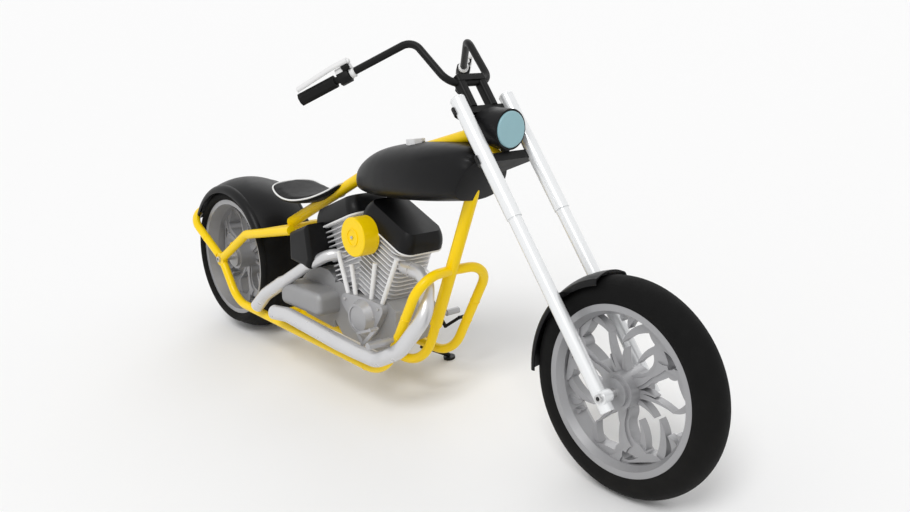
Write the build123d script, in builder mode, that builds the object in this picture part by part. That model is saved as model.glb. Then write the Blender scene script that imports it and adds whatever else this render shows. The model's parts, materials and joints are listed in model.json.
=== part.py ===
from build123d import *
import os
from math import atan2, cos, degrees, radians, sin, sqrt

os.makedirs("parts", exist_ok=True)

# The motorcycle is drawn upright, with X forward, Y to its left and Z up, the rear axle above X = 0
# and the ground at Z = 0. At the end every piece is leaned over together onto the side stand.
# All sizes are in millimetres.

# Stance
LEAN = 9.0
WHEELBASE = 2197.0
GROUND_SHIFT_X = -1089.9
GROUND_SHIFT_Y = -161.1

# Wheels and tyres
RIM_LIP_RADIUS = 262.0
LIP_HEIGHT = 11.0
BEAD_GAP = 0.5
REAR_TYRE_RADIUS = 338.0
REAR_TYRE_HALF_WIDTH = 125.0
REAR_CROWN_RADIUS = 170.0
REAR_SHOULDER = 105.0
REAR_RIM_HALF_WIDTH = 110.0
FRONT_TYRE_RADIUS = 339.0
FRONT_TYRE_HALF_WIDTH = 58.0
FRONT_CROWN_RADIUS = 64.0
FRONT_SHOULDER = 45.0
FRONT_RIM_HALF_WIDTH = 52.0
RIM_WALL = 9.0
LIP_THICKNESS = 7.0
HUB_RADIUS = 57.0
HUB_HALF_WIDTH = 67.0
AXLE_RADIUS = 12.7
AXLE_BORE_RADIUS = 7.0
AXLE_PLAY = 0.4
HUB_STEP = 12.0

# The heights at which both tyres touch the ground once the machine leans
LEAN_LIFT = REAR_CROWN_RADIUS * (1 - cos(radians(LEAN)))
REAR_AXLE_Z = REAR_TYRE_RADIUS
FRONT_AXLE_Z = (
    FRONT_TYRE_RADIUS - FRONT_CROWN_RADIUS
    + (FRONT_CROWN_RADIUS - LEAN_LIFT) / cos(radians(LEAN))
)

# Fork and steering
RAKE = 37.7
FORK_TOP_X = 1549.0
FORK_TOP_Z = 1152.0
FORK_HALF_SPREAD = 106.5
FORK_UPPER_RADIUS = 25.0
FORK_LOWER_RADIUS = 22.0
FORK_STEP = 439.0
FORK_LENGTH = 1084.0
STEM_OFFSET = 66.0
STEM_RADIUS = 14.0
NECK_RADIUS = 27.0
NECK_PLAY = 0.4
UPPER_CLAMP = (30.0, 55.0)
LOWER_CLAMP = (208.0, 238.0)
CLAMP_RING_RADIUS = 33.0
CLAMP_GAP = 4.0
CLAMP_REACH = 5.0

# Frame tubes
BACKBONE_RADIUS = 23.0
DOWN_TUBE_RADIUS = 22.5
RAIL_RADIUS = 18.0
RAIL_HALF_SPREAD = 163.0
RAIL_Z = 137.0
STAY_RADIUS = 19.0

# Engine
ENGINE_X = 965.0
ENGINE_Z = 260.0
CYLINDER_LEAN = 22.5
CYLINDER_BASE = 120.0
CYLINDER_TOP = 395.0
FIN_HALF_LENGTH = 116.0
FIN_HALF_WIDTH = 92.0
FIN_COUNT = 15
FIN_THICKNESS = 4.5
CORE_INSET = 22.0
COVER_HALF_LENGTH = 148.0
COVER_HALF_WIDTH = 99.0
COVER_HEIGHT = 78.0
CASE_HALF_WIDTH = 96.0

SIDES = (("right", -1), ("left", 1))

pieces = {}


def fork_axis(distance, forward=0.0, across=0.0):
    """A point by its distance down the steering axis, its offset ahead of it and its side offset."""
    down_x, down_z = sin(radians(RAKE)), -cos(radians(RAKE))
    ahead_x, ahead_z = cos(radians(RAKE)), sin(radians(RAKE))
    return Vector(
        FORK_TOP_X + distance * down_x + (forward - STEM_OFFSET) * ahead_x,
        across,
        FORK_TOP_Z + distance * down_z + (forward - STEM_OFFSET) * ahead_z,
    )


def fork_plane(distance, forward=0.0, across=0.0):
    """A plane square to the steering axis: local X points ahead, local Y left, normal up the axis."""
    return Plane(
        origin=fork_axis(distance, forward, across),
        x_dir=(cos(radians(RAKE)), 0, sin(radians(RAKE))),
        z_dir=(-sin(radians(RAKE)), 0, cos(radians(RAKE))),
    )


def cylinder_plane(lean, distance):
    """A plane square to a cylinder's axis at a distance from the crank: local X is fore and aft."""
    return Plane(
        origin=(ENGINE_X + distance * sin(radians(lean)), 0, ENGINE_Z + distance * cos(radians(lean))),
        x_dir=(cos(radians(lean)), 0, -sin(radians(lean))),
        z_dir=(sin(radians(lean)), 0, cos(radians(lean))),
    )


def round_tube(points, radius, bend):
    """A round bar swept along straight runs that tangent arcs join."""
    with BuildPart() as tube:
        with BuildLine() as path:
            if bend:
                FilletPolyline(*points, radius=bend)
            else:
                Polyline(*points)
        with BuildSketch(Plane(origin=path.line @ 0, z_dir=path.line % 0)):
            Circle(radius)
        sweep(path=path.line)
    return tube.part


def cut_by(part, *others):
    """The part with other pieces' room taken out of it."""
    with BuildPart() as result:
        add(part)
        for other in others:
            add(other, mode=Mode.SUBTRACT)
    return result.part


# Steering neck with the bore for the fork's stem
with BuildPart() as steering_neck:
    with BuildSketch(fork_plane(LOWER_CLAMP[0] - CLAMP_GAP)):
        Circle(NECK_RADIUS)
        Circle(STEM_RADIUS + NECK_PLAY, mode=Mode.SUBTRACT)
    extrude(amount=LOWER_CLAMP[0] - UPPER_CLAMP[1] - 2 * CLAMP_GAP)
    for cup_distance in (UPPER_CLAMP[1] + CLAMP_GAP + 16, LOWER_CLAMP[0] - CLAMP_GAP):
        with BuildSketch(fork_plane(cup_distance)):
            Circle(NECK_RADIUS + 4)
            Circle(STEM_RADIUS + NECK_PLAY, mode=Mode.SUBTRACT)
        extrude(amount=16)
pieces["steering_neck"] = steering_neck.part

with BuildPart() as neck_envelope:
    with BuildSketch(fork_plane(LOWER_CLAMP[0])):
        Circle(NECK_RADIUS)
    extrude(amount=LOWER_CLAMP[0] - UPPER_CLAMP[1])

# Backbone from the neck down to the cross tube ahead of the rear wheel
BACKBONE_POINTS = ((1562, 0, 1039), (1250, 0, 948), (900, 0, 817), (345, 0, 540))
BACKBONE_BEND = 900.0
CROSS_TUBE_X = 345.0
CROSS_TUBE_Z = 514.0

backbone = round_tube(BACKBONE_POINTS, BACKBONE_RADIUS, BACKBONE_BEND)
cross_tube = round_tube(
    ((CROSS_TUBE_X, -RAIL_HALF_SPREAD, CROSS_TUBE_Z), (CROSS_TUBE_X, RAIL_HALF_SPREAD, CROSS_TUBE_Z)),
    RAIL_RADIUS, 0,
)

# Single down tube, straight from the neck, that carries on as the middle lower rail
DOWN_TUBE_TOP = (1574.0, 993.0)
DOWN_TUBE_FOOT = (1312.0, 313.0)
TEE_Z = 536.0
REAR_CROSS_X = 395.0
down_tube_slope = (DOWN_TUBE_TOP[0] - DOWN_TUBE_FOOT[0]) / (DOWN_TUBE_TOP[1] - DOWN_TUBE_FOOT[1])
TEE_X = DOWN_TUBE_FOOT[0] + (TEE_Z - DOWN_TUBE_FOOT[1]) * down_tube_slope
elbow_x = DOWN_TUBE_FOOT[0] + (RAIL_Z - DOWN_TUBE_FOOT[1]) * down_tube_slope
ELBOW_BEND = 170.0

down_tube = round_tube(
    ((DOWN_TUBE_TOP[0], 0, DOWN_TUBE_TOP[1]), (DOWN_TUBE_FOOT[0], 0, DOWN_TUBE_FOOT[1])),
    DOWN_TUBE_RADIUS, 0,
)
middle_rail = round_tube(
    ((DOWN_TUBE_FOOT[0], 0, DOWN_TUBE_FOOT[1]), (elbow_x, 0, RAIL_Z), (REAR_CROSS_X, 0, RAIL_Z + 10)),
    RAIL_RADIUS, ELBOW_BEND,
)
neck_room = neck_envelope.part + steering_neck.part
pieces["backbone_tube"] = cut_by(backbone, neck_room)
with BuildPart() as whole_down_tube:
    add(cut_by(down_tube, neck_room, backbone))
    add(middle_rail)
pieces["down_tube"] = whole_down_tube.part

# Guard loops, lower rails, stays and the hoop behind the wheel, the same on both sides
LOOP_TOP = (1428.0, 540.0)
LOOP_ELBOW_X = 1216.0
LOOP_BEND = 88.0
LOWER_BEND = 165.0
RAIL_JOINT_X = 1100.0
RAIL_REAR = (128.0, 166.0)
RAIL_REAR_BEND = 150.0
STAY_KNEE = (233.0, 490.0)
STAY_FRONT = (604.0, 570.0)
STAY_BEND = 60.0
HOOP_BEND = 150.0
HOOP_RADIUS_FROM_AXLE = 382.0
HOOP_RISE = 27.7
PLATE_RADIUS = 30.0
PLATE_THICKNESS = 12.0
hoop_x = -HOOP_RADIUS_FROM_AXLE * cos(radians(HOOP_RISE))
hoop_z = REAR_AXLE_Z + HOOP_RADIUS_FROM_AXLE * sin(radians(HOOP_RISE))

rear_cross = round_tube(
    ((REAR_CROSS_X, -RAIL_HALF_SPREAD, RAIL_Z + 22), (REAR_CROSS_X, RAIL_HALF_SPREAD, RAIL_Z + 22)),
    RAIL_RADIUS, 0,
)
axle_rooms = []
for side, sign in SIDES:
    y = sign * RAIL_HALF_SPREAD
    loop = round_tube(
        ((TEE_X, 0, TEE_Z), (LOOP_TOP[0], y, LOOP_TOP[1]), (LOOP_ELBOW_X, y, RAIL_Z), (RAIL_JOINT_X, y, RAIL_Z)),
        RAIL_RADIUS, [LOOP_BEND, LOWER_BEND],
    )
    rail = round_tube(
        ((RAIL_JOINT_X, y, RAIL_Z), (RAIL_REAR[0], y, RAIL_REAR[1]), (0, y, REAR_AXLE_Z)),
        RAIL_RADIUS, RAIL_REAR_BEND,
    )
    stay = round_tube(
        ((0, y, REAR_AXLE_Z), (STAY_KNEE[0], y, STAY_KNEE[1]), (STAY_FRONT[0], y, STAY_FRONT[1])),
        STAY_RADIUS, STAY_BEND,
    )
    with BuildPart() as axle_plate:
        with BuildSketch(Plane(origin=(0, y, REAR_AXLE_Z), x_dir=(1, 0, 0), z_dir=(0, -1, 0))):
            Circle(PLATE_RADIUS)
            Circle(AXLE_RADIUS, mode=Mode.SUBTRACT)
        extrude(amount=PLATE_THICKNESS, both=True)
    with BuildPart() as plate_room:
        with BuildSketch(Plane(origin=(0, y, REAR_AXLE_Z), x_dir=(1, 0, 0), z_dir=(0, -1, 0))):
            Circle(PLATE_RADIUS)
        extrude(amount=2 * STAY_RADIUS, both=True)
    with BuildPart() as stay_with_plate:
        add(cut_by(stay, plate_room.part))
        add(axle_plate.part)
    pieces[f"guard_loop_{side}"] = cut_by(loop, down_tube)
    pieces[f"lower_rail_{side}"] = cut_by(rail, plate_room.part, stay, pieces[f"guard_loop_{side}"])
    pieces[f"upper_stay_{side}"] = stay_with_plate.part
    axle_rooms.append(plate_room.part)

with BuildPart() as rear_hoop:
    with BuildLine() as hoop_path:
        FilletPolyline(
            (0, -RAIL_HALF_SPREAD, REAR_AXLE_Z), (hoop_x, -RAIL_HALF_SPREAD, hoop_z),
            (hoop_x, RAIL_HALF_SPREAD, hoop_z), (0, RAIL_HALF_SPREAD, REAR_AXLE_Z),
            radius=HOOP_BEND,
        )
    with BuildSketch(Plane(origin=hoop_path.line @ 0, z_dir=hoop_path.line % 0)):
        Circle(RAIL_RADIUS)
    sweep(path=hoop_path.line)
pieces["rear_hoop"] = cut_by(
    rear_hoop.part, *axle_rooms,
    *(pieces[f"{name}_{side}"] for name in ("upper_stay", "lower_rail") for side, _ in SIDES),
)
with BuildPart() as whole_backbone:
    add(pieces["backbone_tube"])
    add(cut_by(cross_tube, pieces["upper_stay_right"], pieces["upper_stay_left"]))
pieces["backbone_tube"] = whole_backbone.part
pieces["rail_cross_tube"] = cut_by(
    rear_cross, pieces["lower_rail_right"], pieces["lower_rail_left"], middle_rail,
)

# Rear axle, hollow, from plate to plate with a flat collar at each end
with BuildPart() as rear_axle:
    with BuildSketch(Plane(origin=(0, 0, REAR_AXLE_Z), x_dir=(1, 0, 0), z_dir=(0, 1, 0))):
        Circle(AXLE_RADIUS)
        Circle(AXLE_BORE_RADIUS, mode=Mode.SUBTRACT)
    extrude(amount=RAIL_HALF_SPREAD + PLATE_THICKNESS + 10, both=True)
pieces["rear_axle"] = rear_axle.part


def wheel_plane(x, z):
    """The plane through an axle in which a tyre's or rim's section is drawn: local X is across."""
    return Plane(origin=(x, 0, z), x_dir=(0, 1, 0), z_dir=(1, 0, 0))


def tyre_ring(x, z, radius, half_width, crown, shoulder, rim_half_width):
    """A tyre: a crowned tread, round shoulders and beads that sit inside the rim's lips."""
    shoulder_radius = radius - crown + sqrt(crown**2 - shoulder**2)
    bead = rim_half_width - LIP_THICKNESS - BEAD_GAP
    bead_radius = RIM_LIP_RADIUS - LIP_HEIGHT + BEAD_GAP
    over_lip = RIM_LIP_RADIUS + BEAD_GAP
    bulge_radius = (shoulder_radius + over_lip) / 2
    with BuildPart() as tyre:
        with BuildSketch(wheel_plane(x, z)):
            with BuildLine():
                ThreePointArc((-shoulder, shoulder_radius), (0, radius), (shoulder, shoulder_radius))
                for way in (1, -1):
                    ThreePointArc(
                        (way * shoulder, shoulder_radius),
                        (way * half_width, bulge_radius),
                        (way * rim_half_width, over_lip),
                    )
                    Polyline(
                        (way * rim_half_width, over_lip), (way * bead, over_lip), (way * bead, bead_radius),
                    )
                Line((-bead, bead_radius), (bead, bead_radius))
            make_face()
        revolve(axis=Axis((x, 0, z), (0, 1, 0)))
    return tyre.part


def rim_barrel(x, z, half_width):
    """A rim's barrel: two lips, bead seats and a drop centre, one wall thick."""
    seat = RIM_LIP_RADIUS - LIP_HEIGHT
    drop = seat - 14
    lip = half_width - LIP_THICKNESS
    inner = drop - RIM_WALL
    well = 0.55 * half_width
    with BuildPart() as barrel:
        with BuildSketch(wheel_plane(x, z)):
            with BuildLine():
                Polyline(
                    (-half_width, RIM_LIP_RADIUS), (-lip, RIM_LIP_RADIUS), (-lip, seat), (-well, drop),
                    (well, drop), (lip, seat), (lip, RIM_LIP_RADIUS), (half_width, RIM_LIP_RADIUS),
                    (half_width, seat - RIM_WALL), (well, inner), (-well, inner),
                    (-half_width, seat - RIM_WALL), (-half_width, RIM_LIP_RADIUS),
                )
            make_face()
        revolve(axis=Axis((x, 0, z), (0, 1, 0)))
    return barrel.part


# Wheel spokes: three flaming arms with thorns between them, as seen from the right side. Each place is
# a radius and an angle from its arm's middle line, and the third column bows the edge that follows.
ARM_TURNS = (270.0, 30.0, 150.0)
ARM_OUTLINE = (
    (46, -24, 2), (62, -13, -4), (110, -4, -2), (177, -2.2, -5), (205, -6, -6), (234, -27, 0),
    (237, 0, 0), (234, 41, -7), (196, 28, -3), (165, 21.4, 5), (131, 14.7, 4), (92, 17, -3),
    (62, 27, -2), (46, 38, 0),
)
ARM_RIDGE = (
    (48, -10, 0), (70, -4, -2), (120, 3, -2), (180, 5, 4), (228, -10, 0), (233, 0, 0), (214, 2, -3),
    (190, 8, 3), (172, 15, 3), (135, 9, 3), (90, 10, -2), (48, 24, 0),
)
TAIL_WINDOW = ((190, 4, -3), (206, 19, 5), (219, 4, 4))
# Thorns: root radius, the two angles of its root, tip radius, tip angle, and how far it is bowed
THORNS = (
    (234, 27, 40, 140, 67, 17),
    (188, 19, 28, 100, 35, 8),
    (234, -28, -19, 170, -37, -8),
    (50, 70, 92, 178, 83, 9),
    (50, 48, 70, 126, 63, 7),
    (50, 86, 104, 110, 93, 5),
    (234, 49, 58, 187, 59, 6),
    (234, 61, 67, 205, 66, 4),
)
THORN_TIP = 2.5
RIDGE_HEIGHT = 6.0


def polar(radius, angle):
    """A place on the wheel's face from its radius and angle."""
    return Vector(radius * cos(radians(angle)), radius * sin(radians(angle)))


def bowed_edge(start, end, bow):
    """An edge between two places, straight or bowed to the left of its run."""
    if not bow:
        return Line(start, end)
    run = end - start
    middle = (start + end) * 0.5 + Vector(-run.Y, run.X).normalized() * bow
    return ThreePointArc(start, middle, end)


def bowed_face(outline, turn):
    """A closed outline of bowed edges, turned to its arm's place."""
    places = [polar(radius, angle + turn) for radius, angle, _ in outline]
    with BuildSketch() as flat:
        with BuildLine():
            for index, (_, _, bow) in enumerate(outline):
                bowed_edge(places[index], places[(index + 1) % len(places)], bow)
        make_face()
    return flat.sketch


def thorn(root_radius, root_start, root_end, tip_radius, tip_angle, bow, turn):
    """A thorn: two edges bowed the same way from its root to a small blunt tip."""
    first = polar(root_radius, root_start + turn)
    last = polar(root_radius, root_end + turn)
    tip = polar(tip_radius, tip_angle + turn)
    across = (last - first).normalized() * THORN_TIP / 2
    outward = 1 if tip_radius < root_radius else -1
    with BuildSketch() as flat:
        with BuildLine():
            bowed_edge(first, tip - across, -outward * bow)
            Line(tip - across, tip + across)
            bowed_edge(tip + across, last, outward * bow)
            Line(last, first)
        make_face()
    return flat.sketch


def thorned_wheel(x, z, half_width, hub_half_width, arm_half_depth):
    """A wheel cut from solid: rim, layered arms, thorns and a stepped hub with the axle's bore."""
    face = Plane(origin=(x, 0, z), x_dir=(1, 0, 0), z_dir=(0, -1, 0))
    with BuildPart() as wheel:
        add(rim_barrel(x, z, half_width))
        with BuildSketch(face):
            for turn in ARM_TURNS:
                add(bowed_face(ARM_OUTLINE, turn))
        extrude(amount=arm_half_depth, both=True)
        with BuildSketch(face):
            for turn in ARM_TURNS:
                add(bowed_face(ARM_RIDGE, turn))
        extrude(amount=arm_half_depth + RIDGE_HEIGHT, both=True)
        with BuildSketch(face):
            for turn in ARM_TURNS:
                add(bowed_face(TAIL_WINDOW, turn))
        extrude(amount=2 * arm_half_depth, both=True, mode=Mode.SUBTRACT)
        with BuildSketch(face):
            for turn in ARM_TURNS:
                for row in THORNS:
                    add(thorn(*row, turn))
        extrude(amount=0.7 * arm_half_depth, both=True)
        with BuildSketch(face):
            Circle(HUB_RADIUS)
        extrude(amount=hub_half_width - HUB_STEP, both=True)
        with BuildSketch(face):
            Circle(HUB_RADIUS - HUB_STEP)
        extrude(amount=hub_half_width, both=True)
        with BuildSketch(face):
            Circle(AXLE_RADIUS + AXLE_PLAY)
        extrude(amount=2 * hub_half_width, both=True, mode=Mode.SUBTRACT)
    return wheel.part


REAR_HUB_HALF_WIDTH = 108.0
pieces["rear_tyre"] = tyre_ring(
    0, REAR_AXLE_Z, REAR_TYRE_RADIUS, REAR_TYRE_HALF_WIDTH, REAR_CROWN_RADIUS, REAR_SHOULDER,
    REAR_RIM_HALF_WIDTH,
)
pieces["front_tyre"] = tyre_ring(
    WHEELBASE, FRONT_AXLE_Z, FRONT_TYRE_RADIUS, FRONT_TYRE_HALF_WIDTH, FRONT_CROWN_RADIUS,
    FRONT_SHOULDER, FRONT_RIM_HALF_WIDTH,
)
pieces["rear_rim"] = thorned_wheel(0, REAR_AXLE_Z, REAR_RIM_HALF_WIDTH, REAR_HUB_HALF_WIDTH, 32)
pieces["front_rim"] = thorned_wheel(WHEELBASE, FRONT_AXLE_Z, FRONT_RIM_HALF_WIDTH, HUB_HALF_WIDTH, 21)

# Final drive on the left: a pulley on the rear wheel, and the belt round it and the gearbox pulley
PULLEY_RADIUS = 104.0
PULLEY_PLANE_Y = 135.0
PULLEY_HALF_WIDTH = 4.5
GEARBOX_PULLEY = (634.0, 300.0, 42.0)
BELT_THICKNESS = 4.0
BELT_PLAY = 0.6
pulley_face = Plane(origin=(0, PULLEY_PLANE_Y, REAR_AXLE_Z), x_dir=(1, 0, 0), z_dir=(0, -1, 0))
with BuildPart() as rear_pulley:
    with BuildSketch(pulley_face):
        Circle(PULLEY_RADIUS)
        Circle(AXLE_RADIUS + AXLE_PLAY, mode=Mode.SUBTRACT)
        with PolarLocations(66, 5):
            Circle(21, mode=Mode.SUBTRACT)
    extrude(amount=PULLEY_HALF_WIDTH, both=True)
    with BuildSketch(Plane(origin=(0, REAR_HUB_HALF_WIDTH, REAR_AXLE_Z), x_dir=(1, 0, 0), z_dir=(0, 1, 0))):
        Circle(40)
        Circle(AXLE_RADIUS + AXLE_PLAY, mode=Mode.SUBTRACT)
    extrude(amount=PULLEY_PLANE_Y - REAR_HUB_HALF_WIDTH)
pieces["rear_pulley"] = rear_pulley.part

with BuildPart() as drive_belt:
    with BuildSketch(Plane(origin=(0, PULLEY_PLANE_Y, 0), x_dir=(1, 0, 0), z_dir=(0, -1, 0))):
        for grow, mode in ((BELT_PLAY + BELT_THICKNESS, Mode.ADD), (BELT_PLAY, Mode.SUBTRACT)):
            with BuildSketch(Plane.XY, mode=Mode.PRIVATE) as hull:
                with Locations((0, REAR_AXLE_Z)):
                    Circle(PULLEY_RADIUS + grow)
                with Locations((GEARBOX_PULLEY[0], GEARBOX_PULLEY[1])):
                    Circle(GEARBOX_PULLEY[2] + grow)
                make_hull()
            add(hull.sketch, mode=mode)
    extrude(amount=PULLEY_HALF_WIDTH, both=True)
pieces["drive_belt"] = drive_belt.part

# Engine: crankcase, gearbox and covers
CASE_OUTLINE = (
    (852, 180), (1085, 172), (1160, 210), (1198, 262), (1200, 352), (1150, 384), (1040, 372), (930, 372),
    (842, 398), (800, 380), (790, 240),
)
with BuildPart() as engine_case:
    with BuildSketch(Plane.XZ):
        with BuildLine():
            Polyline(*CASE_OUTLINE, close=True)
        make_face()
    extrude(amount=CASE_HALF_WIDTH, both=True)
    fillet(engine_case.edges().filter_by(Axis.Y), radius=16)
engine_core = engine_case.part

GEARBOX_OUTLINE = ((575, 205), (790, 190), (800, 398), (752, 424), (640, 424), (560, 352))
with BuildPart() as gearbox:
    with BuildSketch(Plane.XZ):
        with BuildLine():
            Polyline(*GEARBOX_OUTLINE, close=True)
        make_face()
    extrude(amount=CASE_HALF_WIDTH - 6, both=True)
    fillet(gearbox.edges().filter_by(Axis.Y), radius=14)
    with BuildSketch(Plane(origin=(0, CASE_HALF_WIDTH - 6, 0), x_dir=(1, 0, 0), z_dir=(0, 1, 0))):
        with Locations((GEARBOX_PULLEY[0], -GEARBOX_PULLEY[1])):
            Circle(20)
    extrude(amount=PULLEY_PLANE_Y - PULLEY_HALF_WIDTH - CASE_HALF_WIDTH + 6)
    with BuildSketch(pulley_face):
        with Locations((GEARBOX_PULLEY[0], GEARBOX_PULLEY[1] - REAR_AXLE_Z)):
            Circle(GEARBOX_PULLEY[2])
    extrude(amount=PULLEY_HALF_WIDTH, both=True)

# Rounded side cover of the gearbox, with the ribs across its front end
SIDE_COVER_X = (552.0, 838.0)
SIDE_COVER_Z = (262.0, 356.0)
SIDE_COVER_Y = (-196.0, -90.0)
with BuildPart() as gearbox_cover:
    with BuildSketch(Plane(origin=(0, SIDE_COVER_Y[1], 0), x_dir=(1, 0, 0), z_dir=(0, -1, 0))):
        with Locations((sum(SIDE_COVER_X) / 2, sum(SIDE_COVER_Z) / 2)):
            RectangleRounded(SIDE_COVER_X[1] - SIDE_COVER_X[0], SIDE_COVER_Z[1] - SIDE_COVER_Z[0], 30)
    extrude(amount=SIDE_COVER_Y[1] - SIDE_COVER_Y[0])
    fillet(gearbox_cover.faces().sort_by(Axis.Y)[0].edges(), radius=22)
with BuildPart() as whole_gearbox:
    add(gearbox.part)
    add(cut_by(gearbox_cover.part, engine_core))

# Cam cover: a rounded triangle with a raised round boss
CAM_CENTRE = (1030.0, 300.0)
with BuildPart() as cam_cover:
    cam_face = Plane(origin=(0, -CASE_HALF_WIDTH, 0), x_dir=(1, 0, 0), z_dir=(0, -1, 0))
    with BuildSketch(cam_face):
        with Locations(CAM_CENTRE):
            Circle(78)
        with Locations((915, 340)):
            Circle(28)
        with Locations((1128, 350)):
            Circle(24)
        make_hull()
    extrude(amount=26)
    with BuildSketch(cam_face.offset(26)):
        with Locations(CAM_CENTRE):
            Circle(70)
    extrude(amount=30, taper=25)
    with BuildSketch(cam_face.offset(56)):
        with Locations(CAM_CENTRE):
            Circle(48)
    extrude(amount=-4, mode=Mode.SUBTRACT)
pieces["cam_cover"] = cut_by(cam_cover.part, whole_gearbox.part)

# Primary drive cover on the left, from the crank to the clutch
PRIMARY_Y = (CASE_HALF_WIDTH, 168.0)
with BuildPart() as primary_cover:
    with BuildSketch(Plane(origin=(0, PRIMARY_Y[0], 0), x_dir=(1, 0, 0), z_dir=(0, 1, 0))):
        with Locations((ENGINE_X, -262)):
            Circle(84)
        with Locations((792, -296)):
            Circle(102)
        make_hull()
    extrude(amount=PRIMARY_Y[1] - PRIMARY_Y[0])
    fillet(primary_cover.faces().sort_by(Axis.Y)[-1].edges(), radius=24)
pieces["primary_cover"] = primary_cover.part

# Cylinders: a rounded core with a stack of rounded fins, one for each way of the vee
fin_pitch = (CYLINDER_TOP - CYLINDER_BASE - FIN_THICKNESS) / (FIN_COUNT - 1)
for cylinder, lean in (("front", CYLINDER_LEAN), ("rear", -CYLINDER_LEAN)):
    with BuildPart() as barrel:
        with BuildSketch(cylinder_plane(lean, CYLINDER_BASE)):
            RectangleRounded(2 * (FIN_HALF_LENGTH - CORE_INSET), 2 * (FIN_HALF_WIDTH - CORE_INSET), 40)
        extrude(amount=CYLINDER_TOP - CYLINDER_BASE)
        for index in range(FIN_COUNT):
            with BuildSketch(cylinder_plane(lean, CYLINDER_BASE + index * fin_pitch)):
                RectangleRounded(2 * FIN_HALF_LENGTH, 2 * FIN_HALF_WIDTH, 46)
            extrude(amount=FIN_THICKNESS)
        split(bisect_by=Plane(origin=(ENGINE_X, 0, 0), z_dir=(1, 0, 0)), keep=Keep.TOP if lean > 0 else Keep.BOTTOM)
    pieces[f"{cylinder}_cylinder"] = barrel.part

    with BuildPart() as cover:
        with BuildSketch(cylinder_plane(lean, CYLINDER_TOP)):
            RectangleRounded(2 * COVER_HALF_LENGTH, 2 * COVER_HALF_WIDTH, 44)
        with BuildSketch(cylinder_plane(lean, CYLINDER_TOP + COVER_HEIGHT * 0.55)):
            RectangleRounded(2 * COVER_HALF_LENGTH - 8, 2 * COVER_HALF_WIDTH - 8, 42)
        with BuildSketch(cylinder_plane(lean, CYLINDER_TOP + COVER_HEIGHT)):
            RectangleRounded(2 * COVER_HALF_LENGTH - 44, 2 * COVER_HALF_WIDTH - 40, 34)
        loft()
    pieces[f"{cylinder}_rocker_cover"] = cover.part

# Mounting feet down to the middle rail: the x at which each stands, and the piece it belongs to
FOOT_TOP_Z = 230.0
FOOT_HALF_WIDTH = 13.0
MOUNTING_FEET = ((920, "engine_case"), (1085, "engine_case"), (640, "gearbox"))
pieces["engine_case"] = cut_by(engine_core, whole_gearbox.part)
pieces["gearbox"] = whole_gearbox.part
for foot_x, owner in MOUNTING_FEET:
    with BuildPart() as footed:
        add(pieces[owner])
        with BuildSketch(Plane(origin=(0, 0, RAIL_Z + 10))):
            with Locations((foot_x, 0)):
                Rectangle(30, 2 * FOOT_HALF_WIDTH)
        extrude(amount=FOOT_TOP_Z - RAIL_Z - 10)
    pieces[owner] = cut_by(footed.part, middle_rail)
for cylinder in ("front", "rear"):
    trimmed = cut_by(pieces[f"{cylinder}_cylinder"], engine_core, whole_gearbox.part)
    with BuildPart() as main_barrel:
        add(trimmed.solids().sort_by(SortBy.VOLUME)[-1])
    pieces[f"{cylinder}_cylinder"] = main_barrel.part

# Pushrod tubes, two beside each cylinder: foot and head, in the plane just outside the fins
PUSHROD_Y = -(FIN_HALF_WIDTH + 13)
PUSHROD_RADIUS = 9.0
PUSHRODS = (
    ((912, 366), (850, 520)),
    ((962, 366), (938, 486)),
    ((1060, 366), (1090, 520)),
    ((1130, 372), (1222, 560)),
)
with BuildPart() as pushrods:
    for foot, head in PUSHRODS:
        add(round_tube(((foot[0], PUSHROD_Y, foot[1]), (head[0], PUSHROD_Y, head[1])), PUSHROD_RADIUS, 0))
pieces["pushrod_tubes"] = cut_by(pushrods.part, pieces["cam_cover"], engine_core)

# Air cleaner: a round drum on the right, its body reaching into the vee
AIR_X, AIR_Z = 1036.0, 617.0
AIR_RADIUS = 74.0
AIR_OUTER_Y = -166.0
air_face = Plane(origin=(AIR_X, AIR_OUTER_Y, AIR_Z), x_dir=(1, 0, 0), z_dir=(0, -1, 0))
with BuildPart() as air_cleaner:
    with BuildSketch(air_face):
        Circle(AIR_RADIUS)
    extrude(amount=-(-AIR_OUTER_Y - FIN_HALF_WIDTH - 6))
    chamfer(air_cleaner.faces().sort_by(Axis.Y)[0].edges(), 3)
    with BuildSketch(air_face):
        Circle(34)
        Circle(29, mode=Mode.SUBTRACT)
    extrude(amount=3)
    with BuildSketch(air_face.offset(-(-AIR_OUTER_Y - FIN_HALF_WIDTH - 6))):
        Circle(30)
    extrude(amount=-70)
pieces["air_cleaner"] = cut_by(
    air_cleaner.part, pieces["front_cylinder"], pieces["rear_cylinder"], pieces["pushrod_tubes"],
    pieces["front_rocker_cover"], pieces["rear_rocker_cover"],
)

# Exhaust pipes with flared ends cut square
PIPE_RADIUS = 28.0
REAR_PIPE_RADIUS = 23.0
MUFFLER_RADIUS = 30.0
FRONT_PIPE = (
    (1188, -44, 516), (1338, -62, 512), (1412, -128, 400), (1352, -196, 268), (1236, -214, 206),
    (1110, -214, 206),
)
REAR_PIPE = ((846, -50, 500), (806, -120, 500), (700, -160, 440), (590, -186, 366))
PIPE_WALL = 2.0
OPEN_DEPTH = 60.0


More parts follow.
